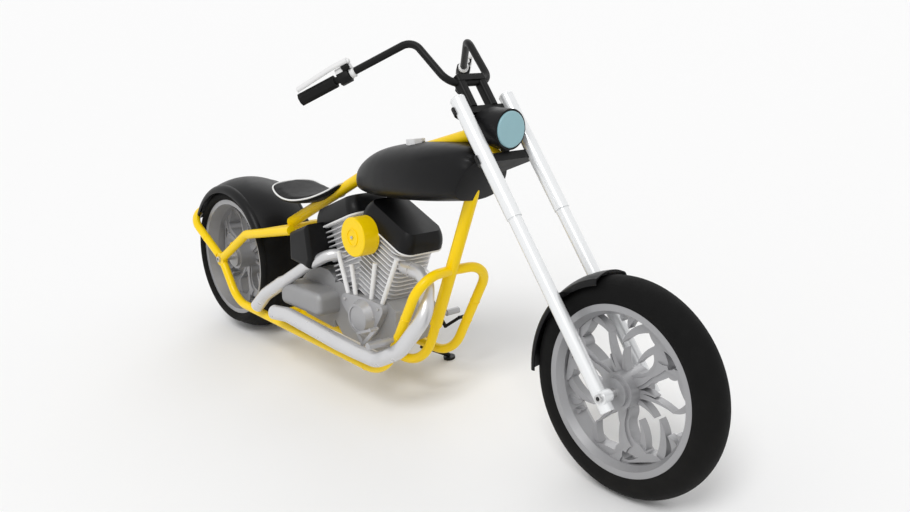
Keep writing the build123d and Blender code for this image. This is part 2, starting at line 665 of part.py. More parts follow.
def exhaust(head, head_radius, bend, muffler, muffler_radius, muffler_bend):
    """A pipe that widens into a longer muffler with an open end."""
    with BuildLine() as muffler_line:
        FilletPolyline(*muffler, radius=muffler_bend)
    mouth = Plane(origin=muffler_line.line @ 0, z_dir=muffler_line.line % 0)
    tail = Plane(origin=muffler_line.line @ 1, z_dir=muffler_line.line % 1)
    with BuildPart() as pipe:
        add(round_tube(head, head_radius, bend))
        with BuildSketch(Plane(origin=head[-1], z_dir=Vector(*head[-1]) - Vector(*head[-2]))):
            Circle(head_radius)
        with BuildSketch(mouth):
            Circle(muffler_radius)
        loft()
        with BuildSketch(mouth):
            Circle(muffler_radius)
        sweep(path=muffler_line.line)
        with BuildSketch(tail):
            Circle(muffler_radius - PIPE_WALL)
        extrude(amount=-OPEN_DEPTH, mode=Mode.SUBTRACT)
    return pipe.part


front_exhaust = exhaust(
    FRONT_PIPE, PIPE_RADIUS, 100,
    ((1000, -216, 212), (640, -216, 236), (545, -222, 226)), MUFFLER_RADIUS, 160,
)
pieces["front_exhaust"] = cut_by(front_exhaust, pieces["front_cylinder"], pieces["pushrod_tubes"])
rear_exhaust = exhaust(
    REAR_PIPE, REAR_PIPE_RADIUS, 60,
    ((560, -187.4, 348), (440, -196, 275), (366, -200, 206)), MUFFLER_RADIUS - 2, 140,
)
pieces["rear_exhaust"] = cut_by(
    rear_exhaust, pieces["rear_cylinder"], pieces["gearbox"], pieces["pushrod_tubes"],
)

# Oil tank behind the rear cylinder, its top sloped along under the backbone
OIL_OUTLINE = ((610, 452), (742, 438), (764, 480), (740, 618), (610, 566))
OIL_HALF_WIDTH = 180.0
with BuildPart() as oil_tank:
    with BuildSketch(Plane.XZ):
        with BuildLine():
            Polyline(*OIL_OUTLINE, close=True)
        make_face()
    extrude(amount=OIL_HALF_WIDTH, both=True)
    fillet(oil_tank.faces().sort_by(Axis.Y)[0].edges(), radius=18)
    fillet(oil_tank.faces().sort_by(Axis.Y)[-1].edges(), radius=18)
pieces["oil_tank"] = cut_by(
    oil_tank.part, pieces["rear_cylinder"], pieces["rear_rocker_cover"], backbone,
    pieces["upper_stay_right"], pieces["upper_stay_left"], pieces["rear_exhaust"],
)


def lofted_body(sections):
    """A body through sections, each by its x and its outline's sizes."""
    with BuildPart() as body:
        for x, half_width, bottom, waist, crease, top, crease_half_width, floor in sections:
            with BuildSketch(Plane(origin=(x, 0, 0), x_dir=(0, 1, 0), z_dir=(1, 0, 0))):
                with BuildLine():
                    Line((-floor, bottom), (floor, bottom))
                    for way in (1, -1):
                        ThreePointArc(
                            (way * floor, bottom), (way * half_width, waist), (way * crease_half_width, crease),
                        )
                    ThreePointArc((-crease_half_width, crease), (0, top), (crease_half_width, crease))
                make_face()
        loft()
    return body.part


# Fuel tank sections: x, half width, bottom, waist, crease height, top, crease half width, floor half width
TANK_SECTIONS = (
    (874, 44, 782, 812, 838, 844, 26, 32),
    (1000, 92, 789, 835, 880, 894, 44, 64),
    (1180, 134, 798, 868, 944, 958, 62, 92),
    (1360, 146, 803, 880, 976, 986, 74, 96),
    (1500, 126, 808, 884, 972, 986, 82, 84),
    (1610, 98, 818, 886, 950, 972, 84, 70),
)
TUNNEL_HALF_WIDTH = 27.0
tunnel_outline = (
    (860, 740), (1640, 740), (1640, 1075), (1562, 1064), (1250, 973.5), (900, 842.5), (860, 824),
)
with BuildPart() as tank_tunnel:
    with BuildSketch(Plane.XZ):
        with BuildLine():
            Polyline(*tunnel_outline, close=True)
        make_face()
    extrude(amount=TUNNEL_HALF_WIDTH, both=True)
with BuildPart() as tank_nose_cut:
    with BuildSketch(Plane.XZ):
        with BuildLine():
            Polyline((1520, 790), (1598, 952), (1556, 1010), (1700, 1010), (1700, 790), close=True)
        make_face()
    extrude(amount=200, both=True)
tank_shell = cut_by(lofted_body(TANK_SECTIONS), tank_tunnel.part, tank_nose_cut.part)
# Saddle pads inside the tunnel, by their x and z, that rest on the backbone
with BuildPart() as tank_on_pads:
    add(tank_shell)
    for pad_x, pad_z in ((1040.0, 866.0), (1330.0, 958.0)):
        with BuildSketch(Plane(origin=(pad_x, 0, pad_z))):
            Rectangle(30, 2 * TUNNEL_HALF_WIDTH + 6)
        extrude(amount=8, both=True)
pieces["fuel_tank"] = cut_by(tank_on_pads.part, backbone)

CAP_CENTRE = (1246.0, -30.0, 950.0)
with BuildPart() as fuel_cap:
    with BuildSketch(Plane(origin=CAP_CENTRE, z_dir=(-0.12, 0, 1))):
        RegularPolygon(34, 8)
    extrude(amount=38)
pieces["fuel_cap"] = cut_by(fuel_cap.part, pieces["fuel_tank"], tank_tunnel.part)

# Seat sections, in the same columns, from the raised back to the nose on the backbone
SEAT_SECTIONS = (
    (352, 100, 706, 718, 728, 738, 70, 80),
    (420, 134, 664, 694, 712, 720, 100, 112),
    (520, 138, 650, 676, 692, 696, 104, 116),
    (620, 104, 672, 690, 702, 706, 74, 84),
    (700, 60, 712, 728, 738, 742, 40, 46),
    (770, 34, 760, 770, 776, 780, 20, 24),
)
seat_body = lofted_body(SEAT_SECTIONS)

# Rear fender: a bowed strip round the tyre with short skirts
FENDER_INNER = 352.0
FENDER_WALL = 4.0
REAR_FENDER_HALF_WIDTH = 141.0
SKIRT = 34.0


def fender_strip(x, z, radius, half_width, skirt, wall, start, sweep_angle):
    """A fender: an arched strip of sheet that turns down into skirts, swept about the axle."""
    with BuildPart() as strip:
        with BuildSketch(Plane(origin=(x, 0, z), x_dir=(0, 1, 0), z_dir=(1, 0, 0)).rotated((0, 0, 0))):
            with BuildLine():
                outer = radius + wall
                edge = outer - 0.18 * half_width
                ThreePointArc((-half_width * 0.8, edge), (0, outer), (half_width * 0.8, edge))
                for way in (1, -1):
                    ThreePointArc(
                        (way * half_width * 0.8, edge),
                        (way * half_width * 0.955, edge - 0.5 * skirt * 0.55),
                        (way * half_width, edge - skirt),
                    )
                    Line((way * half_width, edge - skirt), (way * (half_width - wall), edge - skirt))
                    ThreePointArc(
                        (way * (half_width - wall), edge - skirt),
                        (way * (half_width * 0.955 - wall), edge - 0.5 * skirt * 0.55 - wall * 0.5),
                        (way * (half_width * 0.8 - wall * 0.3), edge - wall),
                    )
                ThreePointArc(
                    (-half_width * 0.8 + wall * 0.3, edge - wall), (0, radius),
                    (half_width * 0.8 - wall * 0.3, edge - wall),
                )
            make_face()
        revolve(axis=Axis((x, 0, z), (0, 1, 0)), revolution_arc=sweep_angle)
    turned = strip.part.rotate(Axis((x, 0, z), (0, 1, 0)), start)
    return turned


# A turn about +Y carries the strip from the top towards the front
REAR_FENDER_FRONT = 28.0
REAR_FENDER_TAIL = 156.0
rear_fender = fender_strip(
    0, REAR_AXLE_Z, FENDER_INNER, REAR_FENDER_HALF_WIDTH, SKIRT, FENDER_WALL,
    90 - REAR_FENDER_TAIL, REAR_FENDER_TAIL - REAR_FENDER_FRONT,
)
FENDER_BRACKET_RADIUS = 353.0
with BuildPart() as fender_on_bracket:
    add(rear_fender)
    with BuildSketch(Plane(
        origin=(
            -FENDER_BRACKET_RADIUS * cos(radians(HOOP_RISE)), 0,
            REAR_AXLE_Z + FENDER_BRACKET_RADIUS * sin(radians(HOOP_RISE)),
        ),
        x_dir=(0, 1, 0), z_dir=(-cos(radians(HOOP_RISE)), 0, sin(radians(HOOP_RISE))),
    )):
        Rectangle(56, 22)
    extrude(amount=20)
pieces["rear_fender"] = cut_by(
    fender_on_bracket.part, cross_tube, rear_hoop.part, backbone,
)
pieces["seat"] = cut_by(seat_body, rear_fender, backbone)

FRONT_FENDER_HALF_WIDTH = 70.0
front_fender = fender_strip(
    WHEELBASE, FRONT_AXLE_Z, 350.0, FRONT_FENDER_HALF_WIDTH, 22, 3.5, 90 - 184, 80,
)

# Fork legs: a wide upper tube and a slimmer lower one, with an eye for the axle at the foot
AXLE_EYE_RADIUS = 20.0
AXLE_EYE_HALF_WIDTH = 18.0
axle_distance = (
    (WHEELBASE - FORK_TOP_X) * sin(radians(RAKE)) + (FORK_TOP_Z - FRONT_AXLE_Z) * cos(radians(RAKE))
)
with BuildPart() as front_axle:
    with BuildSketch(Plane(origin=(WHEELBASE, 0, FRONT_AXLE_Z), x_dir=(1, 0, 0), z_dir=(0, 1, 0))):
        Circle(AXLE_RADIUS)
        Circle(AXLE_BORE_RADIUS, mode=Mode.SUBTRACT)
    extrude(amount=FORK_HALF_SPREAD + FORK_LOWER_RADIUS + 8, both=True)
pieces["front_axle"] = front_axle.part
with BuildPart() as axle_room:
    with BuildSketch(Plane(origin=(WHEELBASE, 0, FRONT_AXLE_Z), x_dir=(1, 0, 0), z_dir=(0, 1, 0))):
        Circle(AXLE_RADIUS)
    extrude(amount=200, both=True)
for side, sign in SIDES:
    across = sign * FORK_HALF_SPREAD
    with BuildPart() as fork_upper:
        with BuildSketch(fork_plane(FORK_STEP, STEM_OFFSET, across)):
            Circle(FORK_UPPER_RADIUS)
        extrude(amount=FORK_STEP)
        fillet(fork_upper.edges().sort_by(Axis.Z)[-1], radius=6)
    with BuildPart() as fork_lower:
        with BuildSketch(fork_plane(FORK_LENGTH, STEM_OFFSET, across)):
            Circle(FORK_LOWER_RADIUS)
        extrude(amount=FORK_LENGTH - FORK_STEP)
        with BuildSketch(Plane(origin=(WHEELBASE, across, FRONT_AXLE_Z), x_dir=(1, 0, 0), z_dir=(0, 1, 0))):
            Circle(AXLE_EYE_RADIUS)
        extrude(amount=AXLE_EYE_HALF_WIDTH, both=True)
    pieces[f"fork_upper_{side}"] = fork_upper.part
    pieces[f"fork_lower_{side}"] = cut_by(fork_lower.part, axle_room.part)

for clamp, (top, bottom) in (("upper", UPPER_CLAMP), ("lower", LOWER_CLAMP)):
    with BuildPart() as triple_clamp:
        with BuildSketch(fork_plane(bottom)):
            with Locations((STEM_OFFSET, -FORK_HALF_SPREAD), (STEM_OFFSET, FORK_HALF_SPREAD)):
                Circle(CLAMP_RING_RADIUS)
            Circle(CLAMP_RING_RADIUS)
            make_hull()
            with Locations((STEM_OFFSET + 32, 0)):
                RectangleRounded(64, 128, 12, mode=Mode.SUBTRACT)
            with Locations((STEM_OFFSET - CLAMP_REACH + 50, 0)):
                Rectangle(100, 300, mode=Mode.SUBTRACT)
            with Locations((STEM_OFFSET, -FORK_HALF_SPREAD), (STEM_OFFSET, FORK_HALF_SPREAD)):
                Circle(FORK_UPPER_RADIUS, mode=Mode.SUBTRACT)
            Circle(STEM_RADIUS, mode=Mode.SUBTRACT)
        extrude(amount=bottom - top)
        if clamp == "lower":
            with BuildSketch(fork_plane(LOWER_CLAMP[1])):
                Circle(STEM_RADIUS)
            extrude(amount=LOWER_CLAMP[1] - UPPER_CLAMP[0])
    pieces[f"{clamp}_clamp"] = triple_clamp.part

# Handlebar on two tall risers with a one-piece cap
BAR_RADIUS = 12.7
BAR_CENTRE = (1494.0, 1193.0)
BAR_LOWER_HALF = 91.0
BAR_UPPER = (1343.0, 120.0, 1327.0)
BAR_END = (1040.0, 360.0, 1130.0)
BAR_BEND = 55.0
bar_points = (
    (BAR_END[0], -BAR_END[1], BAR_END[2]), (BAR_UPPER[0], -BAR_UPPER[1], BAR_UPPER[2]),
    (BAR_CENTRE[0], -BAR_LOWER_HALF, BAR_CENTRE[1]), (BAR_CENTRE[0], BAR_LOWER_HALF, BAR_CENTRE[1]),
    (BAR_UPPER[0], BAR_UPPER[1], BAR_UPPER[2]), (BAR_END[0], BAR_END[1], BAR_END[2]),
)
handlebar = round_tube(bar_points, BAR_RADIUS, BAR_BEND)
pieces["handlebar"] = handlebar

bar_rise = (BAR_CENTRE[0] - fork_axis(0).X) * sin(radians(RAKE)) - (
    BAR_CENTRE[1] - fork_axis(0).Z
) * cos(radians(RAKE))
bar_ahead = (BAR_CENTRE[0] - fork_axis(0).X) * cos(radians(RAKE)) + (
    BAR_CENTRE[1] - fork_axis(0).Z
) * sin(radians(RAKE))
RISER_SPREAD = 45.0
with BuildPart() as bar_risers:
    with BuildSketch(fork_plane(UPPER_CLAMP[0])):
        with Locations((bar_ahead, -RISER_SPREAD), (bar_ahead, RISER_SPREAD)):
            RectangleRounded(36, 32, 10)
    extrude(amount=UPPER_CLAMP[0] - bar_rise)
    with BuildSketch(fork_plane(bar_rise)):
        with Locations((bar_ahead, 0)):
            RectangleRounded(40, 2 * RISER_SPREAD + 34, 10)
    extrude(amount=22)
pieces["bar_risers"] = cut_by(bar_risers.part, handlebar)

# Headlamp between the clamps: a bowl with a rim, its lens, and the bracket to the lower clamp
LAMP_Z = 1056.0
LAMP_FACE_X = 1687.0
LAMP_RADIUS = 66.0
LAMP_BOWL = ((1606.0, 18.0), (1630.0, 48.0), (1655.0, 66.0))
LENS_RADIUS = 59.0
LENS_DEPTH = 14.0
lens_seat = Plane(origin=(LAMP_FACE_X - LENS_DEPTH, 0, LAMP_Z), x_dir=(0, 1, 0), z_dir=(1, 0, 0))
with BuildPart() as headlamp_lens:
    with BuildSketch(lens_seat):
        Circle(LENS_RADIUS)
    extrude(amount=LENS_DEPTH + 6)
    fillet(headlamp_lens.faces().sort_by(Axis.X)[-1].edges(), radius=5)
pieces["headlamp_lens"] = headlamp_lens.part
with BuildPart() as headlamp_shell:
    for x, radius in LAMP_BOWL:
        with BuildSketch(Plane(origin=(x, 0, LAMP_Z), x_dir=(0, 1, 0), z_dir=(1, 0, 0))):
            Circle(radius)
    loft()
    with BuildSketch(Plane(origin=(LAMP_BOWL[-1][0], 0, LAMP_Z), x_dir=(0, 1, 0), z_dir=(1, 0, 0))):
        Circle(LAMP_RADIUS)
    extrude(amount=LAMP_FACE_X - LAMP_BOWL[-1][0])
    with BuildSketch(lens_seat):
        Circle(LENS_RADIUS)
    extrude(amount=LENS_DEPTH, mode=Mode.SUBTRACT)
    with BuildSketch(fork_plane(LOWER_CLAMP[0])):
        with Locations((STEM_OFFSET - 8, 0)):
            RectangleRounded(24, 24, 6)
    extrude(amount=50)
pieces["headlamp_shell"] = cut_by(headlamp_shell.part, headlamp_lens.part)

# Grips, perches and levers on each bar end
GRIP_LENGTH = 140.0
GRIP_RADIUS = 23.0
PERCH_LENGTH = 84.0
for side, sign in SIDES:
    end = Vector(BAR_END[0], sign * BAR_END[1], BAR_END[2])
    along = (Vector(BAR_UPPER[0], sign * BAR_UPPER[1], BAR_UPPER[2]) - end).normalized()
    above = Vector(0, sign * 0.633, 0.771)
    grip_plane = Plane(origin=end - along * 5, x_dir=above, z_dir=along)
    with BuildPart() as grip:
        with BuildSketch(grip_plane):
            RegularPolygon(GRIP_RADIUS, 8)
        extrude(amount=GRIP_LENGTH)
    pieces[f"grip_{side}"] = cut_by(grip.part, handlebar)
    perch_plane = Plane(origin=end + along * (GRIP_LENGTH + 8), x_dir=above, z_dir=along)
    with BuildPart() as perch:
        with BuildSketch(perch_plane):
            with Locations((2, 0)):
                RectangleRounded(70, 46, 16)
        extrude(amount=PERCH_LENGTH)
    pieces[f"perch_{side}"] = cut_by(perch.part, handlebar)
    with BuildPart() as lever:
        with BuildLine() as lever_line:
            FilletPolyline(
                end + along * (GRIP_LENGTH + 70) + above * 49, end + along * (GRIP_LENGTH + 10) + above * 50,
                end + along * 6 + above * 38, radius=40,
            )
        with BuildSketch(Plane(origin=lever_line.line @ 0, x_dir=above, z_dir=lever_line.line % 0)):
            RectangleRounded(14, 22, 6)
        sweep(path=lever_line.line)
    pieces[f"lever_{side}"] = cut_by(lever.part, pieces[f"perch_{side}"])

# Front fender with its stays bolted to the fork legs
with BuildPart() as fender_on_brackets:
    add(front_fender)
    for side, sign in SIDES:
        with BuildSketch(fork_plane(axle_distance - 319, STEM_OFFSET, sign * 79)):
            Rectangle(30, 26)
        extrude(amount=15)
pieces["front_fender"] = cut_by(
    fender_on_brackets.part, *(pieces[f"fork_lower_{side}"] for side, _ in SIDES),
)

# Foot pegs: side, sign, x, z, where its stem starts, where the peg starts and where it ends
PEGS = (
    ("right", -1, 1289.0, 290.0, RAIL_HALF_SPREAD + 6, 196.0, 290.0),
    ("left", 1, 1132.0, 274.0, CASE_HALF_WIDTH - 4, 204.0, 266.0),
)
for side, sign, peg_x, peg_z, stem_y, peg_start, peg_end in PEGS:
    with BuildPart() as peg:
        with BuildSketch(Plane(origin=(peg_x, sign * stem_y, peg_z), x_dir=(1, 0, 0), z_dir=(0, sign, 0))):
            Circle(9)
        extrude(amount=peg_start - stem_y)
        with BuildSketch(Plane(origin=(peg_x, sign * peg_start, peg_z), x_dir=(1, 0, 0), z_dir=(0, sign, 0))):
            Circle(13)
        extrude(amount=peg_end - peg_start)
    pieces[f"foot_peg_{side}"] = cut_by(peg.part, pieces[f"guard_loop_{side}"], engine_core)

# Foot levers: a flat plate of round-ended arms on a pivot shaft out of the engine case. Each arm is
# given by its two ends, in x and z, and its width.
BRAKE_ARMS = (((1098, 220), (1188, 306), 14), ((1068, 258), (1180, 302), 9), ((1098, 220), (1068, 258), 8))
SHIFT_ARMS = (((1112, 238), (1132, 219), 13), ((1132, 219), (1216, 276), 11))
FOOT_LEVERS = (
    ("brake_pedal", -1, (1098, 220), 172.0, BRAKE_ARMS, (1188, 306), 28.0),
    ("shift_lever", 1, (1112, 238), 196.0, SHIFT_ARMS, (1216, 276), 36.0),
)
LEVER_THICKNESS = 8.0
for name, sign, pivot, plate_y, arms, toe, toe_length in FOOT_LEVERS:
    facing_out = (0, sign, 0)
    with BuildPart() as foot_lever:
        for middle, width, offset, depth in (
            (pivot, 15, CASE_HALF_WIDTH - 4, plate_y - CASE_HALF_WIDTH + 4 + LEVER_THICKNESS),
            (toe, 14, plate_y, LEVER_THICKNESS + toe_length),
        ):
            with BuildSketch(Plane(origin=(middle[0], sign * offset, middle[1]), x_dir=(1, 0, 0), z_dir=facing_out)):
                Circle(width / 2)
            extrude(amount=depth)
        with BuildSketch(Plane(origin=(0, sign * plate_y, 0), x_dir=(1, 0, 0), z_dir=(0, -1, 0))):
            for start, end, width in arms:
                run = Vector(*end) - Vector(*start)
                with Locations(((start[0] + end[0]) / 2, (start[1] + end[1]) / 2)):
                    SlotCenterToCenter(run.length, width, rotation=degrees(atan2(run.Y, run.X)))
        extrude(amount=-sign * LEVER_THICKNESS)
    pieces[name] = cut_by(foot_lever.part, engine_core)

# Side stand: a lug on the left rail and the leg that swings back along it
STAND_PIVOT = Vector(1020.0, 188.0, 118.0)
STAND_LEG = Vector(0.28, 0.84, -0.42)
STAND_LUG_RADIUS = 16.0
FOLDED_LEG = Vector(-1.0, 0.20, 0.02)
stand_axis = STAND_LEG.normalized().cross(FOLDED_LEG.normalized()).normalized()
GROUND_SLOPE = sin(radians(LEAN)) / cos(radians(LEAN))


def ground_height(y):
    """The ground's height in the upright machine's frame, at a place to its left."""
    return y * GROUND_SLOPE - LEAN_LIFT / cos(radians(LEAN))


leg_direction = STAND_LEG.normalized()
leg_root = STAND_PIVOT - stand_axis * 10.5
FOOT_THICKNESS = 10.0
leg_length = 0.0
for _ in range(40):
    tip = leg_root + leg_direction * leg_length
    leg_length += (tip.Z - ground_height(tip.Y) - FOOT_THICKNESS - 3) * 0.8
foot_point = leg_root + leg_direction * leg_length
with BuildPart() as stand_lug:
    with BuildSketch(Plane(origin=STAND_PIVOT, z_dir=stand_axis)):
        Circle(STAND_LUG_RADIUS)
    extrude(amount=34)
    with BuildLine() as lug_line:
        Line(STAND_PIVOT + stand_axis * 22, Vector(STAND_PIVOT.X, RAIL_HALF_SPREAD, RAIL_Z + 4))
    with BuildSketch(Plane(origin=lug_line.line @ 0, z_dir=lug_line.line % 0)):
        Circle(13)
    sweep(path=lug_line.line)
pieces["stand_lug"] = cut_by(stand_lug.part, pieces["lower_rail_left"])
ground_plane = Plane(
    origin=(foot_point.X, foot_point.Y, ground_height(foot_point.Y)),
    x_dir=(1, 0, 0), z_dir=(0, -sin(radians(LEAN)), cos(radians(LEAN))),
)
with BuildPart() as side_stand:
    with BuildSketch(Plane(origin=STAND_PIVOT - stand_axis * 20.5, z_dir=stand_axis)):
        Circle(STAND_LUG_RADIUS)
    extrude(amount=20)
    with BuildSketch(Plane(origin=leg_root, z_dir=leg_direction)):
        Circle(9)
    extrude(amount=leg_length)
    with BuildSketch(ground_plane):
        Circle(24)
    extrude(amount=FOOT_THICKNESS)
pieces["side_stand"] = side_stand.part

# Everything is leaned over and stood on the ground, then written out
parked = Location((GROUND_SHIFT_X, GROUND_SHIFT_Y, LEAN_LIFT), (-LEAN, 0, 0))
for name, part in pieces.items():
    with BuildPart() as piece:
        add(part.moved(parked))
    piece.part.label = name
    export_step(piece.part, f"parts/{name}.step")
whole = Compound([part.moved(parked) for part in pieces.values()])
box = whole.bounding_box()
print("box", box.min, box.max, "centre", box.center())
print("stand axis", stand_axis, "pivot", STAND_PIVOT, "leg length", leg_length)
print("front axle height", FRONT_AXLE_Z, "pieces", len(pieces))
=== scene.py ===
"""A raked chopper motorcycle, parked on its side stand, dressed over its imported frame.

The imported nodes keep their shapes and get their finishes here. The fuller tank, the lamp's bowl, the hand
controls, the padded seat with its piping, the fork's rings, the weld seams, the fasteners and the gaskets
are modelled here, and ride on the bodies.
"""

from __future__ import annotations

import json
import logging
import math
from dataclasses import dataclass, field
from enum import Enum

import bmesh
import bpy
from mathutils import Matrix, Vector
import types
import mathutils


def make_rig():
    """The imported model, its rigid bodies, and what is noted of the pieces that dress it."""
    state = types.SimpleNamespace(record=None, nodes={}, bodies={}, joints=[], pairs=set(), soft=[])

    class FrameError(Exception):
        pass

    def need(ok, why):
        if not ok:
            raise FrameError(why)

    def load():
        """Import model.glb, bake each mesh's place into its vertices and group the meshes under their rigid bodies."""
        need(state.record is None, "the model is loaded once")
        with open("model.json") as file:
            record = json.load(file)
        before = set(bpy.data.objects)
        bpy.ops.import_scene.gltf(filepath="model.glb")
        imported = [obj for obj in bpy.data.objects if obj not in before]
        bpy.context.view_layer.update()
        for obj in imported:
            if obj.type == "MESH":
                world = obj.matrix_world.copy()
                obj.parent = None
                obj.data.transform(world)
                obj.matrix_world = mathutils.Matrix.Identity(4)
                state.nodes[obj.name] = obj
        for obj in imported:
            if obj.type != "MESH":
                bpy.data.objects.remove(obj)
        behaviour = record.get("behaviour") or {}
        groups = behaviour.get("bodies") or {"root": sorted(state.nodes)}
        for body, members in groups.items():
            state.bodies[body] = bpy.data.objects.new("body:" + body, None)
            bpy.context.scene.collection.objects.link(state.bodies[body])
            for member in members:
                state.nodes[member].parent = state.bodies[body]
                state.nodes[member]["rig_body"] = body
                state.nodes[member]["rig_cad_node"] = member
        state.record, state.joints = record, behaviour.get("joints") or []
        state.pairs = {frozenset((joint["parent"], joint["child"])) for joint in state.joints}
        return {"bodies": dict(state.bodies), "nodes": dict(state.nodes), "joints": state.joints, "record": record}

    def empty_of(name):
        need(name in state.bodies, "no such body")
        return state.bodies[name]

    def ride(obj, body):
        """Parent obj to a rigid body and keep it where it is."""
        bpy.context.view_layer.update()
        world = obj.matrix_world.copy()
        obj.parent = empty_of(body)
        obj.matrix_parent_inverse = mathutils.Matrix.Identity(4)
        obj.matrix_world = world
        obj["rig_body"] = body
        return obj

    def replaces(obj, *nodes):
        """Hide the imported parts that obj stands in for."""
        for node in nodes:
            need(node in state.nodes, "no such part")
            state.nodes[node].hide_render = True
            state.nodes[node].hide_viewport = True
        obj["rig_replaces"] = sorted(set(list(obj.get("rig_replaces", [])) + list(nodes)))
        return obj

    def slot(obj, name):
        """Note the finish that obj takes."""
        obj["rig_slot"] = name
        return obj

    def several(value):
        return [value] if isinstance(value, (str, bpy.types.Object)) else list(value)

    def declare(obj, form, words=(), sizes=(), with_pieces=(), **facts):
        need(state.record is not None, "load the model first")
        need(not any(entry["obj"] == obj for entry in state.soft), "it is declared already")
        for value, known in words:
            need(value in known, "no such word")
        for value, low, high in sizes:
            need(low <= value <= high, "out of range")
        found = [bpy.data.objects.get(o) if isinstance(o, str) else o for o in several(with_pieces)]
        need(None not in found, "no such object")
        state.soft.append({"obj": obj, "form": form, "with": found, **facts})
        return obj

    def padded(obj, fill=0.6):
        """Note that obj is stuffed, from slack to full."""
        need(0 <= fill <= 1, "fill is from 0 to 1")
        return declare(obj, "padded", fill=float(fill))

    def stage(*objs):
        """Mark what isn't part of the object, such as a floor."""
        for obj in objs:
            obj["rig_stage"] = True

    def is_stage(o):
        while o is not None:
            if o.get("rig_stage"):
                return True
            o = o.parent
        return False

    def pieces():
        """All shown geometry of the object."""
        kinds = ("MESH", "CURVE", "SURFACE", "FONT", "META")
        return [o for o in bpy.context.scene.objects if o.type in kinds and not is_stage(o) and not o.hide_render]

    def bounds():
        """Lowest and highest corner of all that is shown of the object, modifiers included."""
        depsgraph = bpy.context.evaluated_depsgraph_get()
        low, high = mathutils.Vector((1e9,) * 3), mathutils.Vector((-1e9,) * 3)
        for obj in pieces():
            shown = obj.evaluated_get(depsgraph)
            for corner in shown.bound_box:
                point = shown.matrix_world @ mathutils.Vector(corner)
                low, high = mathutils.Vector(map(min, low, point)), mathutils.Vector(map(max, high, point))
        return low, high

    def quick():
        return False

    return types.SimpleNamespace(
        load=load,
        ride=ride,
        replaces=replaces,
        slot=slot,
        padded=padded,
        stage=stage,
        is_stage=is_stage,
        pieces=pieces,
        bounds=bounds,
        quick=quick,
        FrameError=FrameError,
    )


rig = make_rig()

LOG = logging.getLogger("chopper")
MM = 0.001
LEAN = math.radians(9.0)
REAR_CROWN_RADIUS = 170.0
SMOOTH_ANGLE = math.radians(35)


def feed(node: bpy.types.Node, values: dict[str, object]) -> None:
    """Sets a node's input sockets to constants.

    Args:
        node: The node.
        values: Each input's value by its name.
    """
    for label, value in values.items():
        node.inputs[label].default_value = value


class Grain(Enum):
    """The kinds of small surface texture that the finishes choose from."""

    PAINT = "paint"
    CAST = "cast"
    BRUSHED = "brushed"
    RUBBER = "rubber"
    LEATHER = "leather"
    LENS = "lens"


class Body(Enum):
    """The bodies that the pieces modelled here ride on."""

    CHASSIS = "chassis"
    STEERING = "steering"


@dataclass(frozen=True)
class Stance:
    """How the upright machine is leaned over onto its stand and placed on the ground."""

    lean: float = LEAN
    shift_x: float = -1089.9
    shift_y: float = -161.1
    lift: float = REAR_CROWN_RADIUS * (1.0 - math.cos(LEAN))

    def matrix(self) -> Matrix:
        """Finds the change from the upright machine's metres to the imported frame's.

        Returns:
            The change.
        """
        move = Matrix.Translation(Vector((self.shift_x, self.shift_y, self.lift)) * MM)
        return move @ Matrix.Rotation(-self.lean, 4, "X")

    def place(self, x: float, y: float, z: float) -> Vector:
        """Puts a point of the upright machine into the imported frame.

        Args:
            x: Millimetres ahead of the rear axle.
            y: Millimetres to the rider's left.
            z: Millimetres above the ground.

        Returns:
            The point in metres.
        """
        return self.matrix() @ (Vector((x, y, z)) * MM)

    def aim(self, x: float, y: float, z: float) -> Vector:
        """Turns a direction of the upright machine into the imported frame.

        Args:
            x: Share ahead.
            y: Share to the left.
            z: Share upwards.

        Returns:
            The direction, one unit long.
        """
        return (self.matrix().to_3x3() @ Vector((x, y, z))).normalized()


STANCE = Stance()


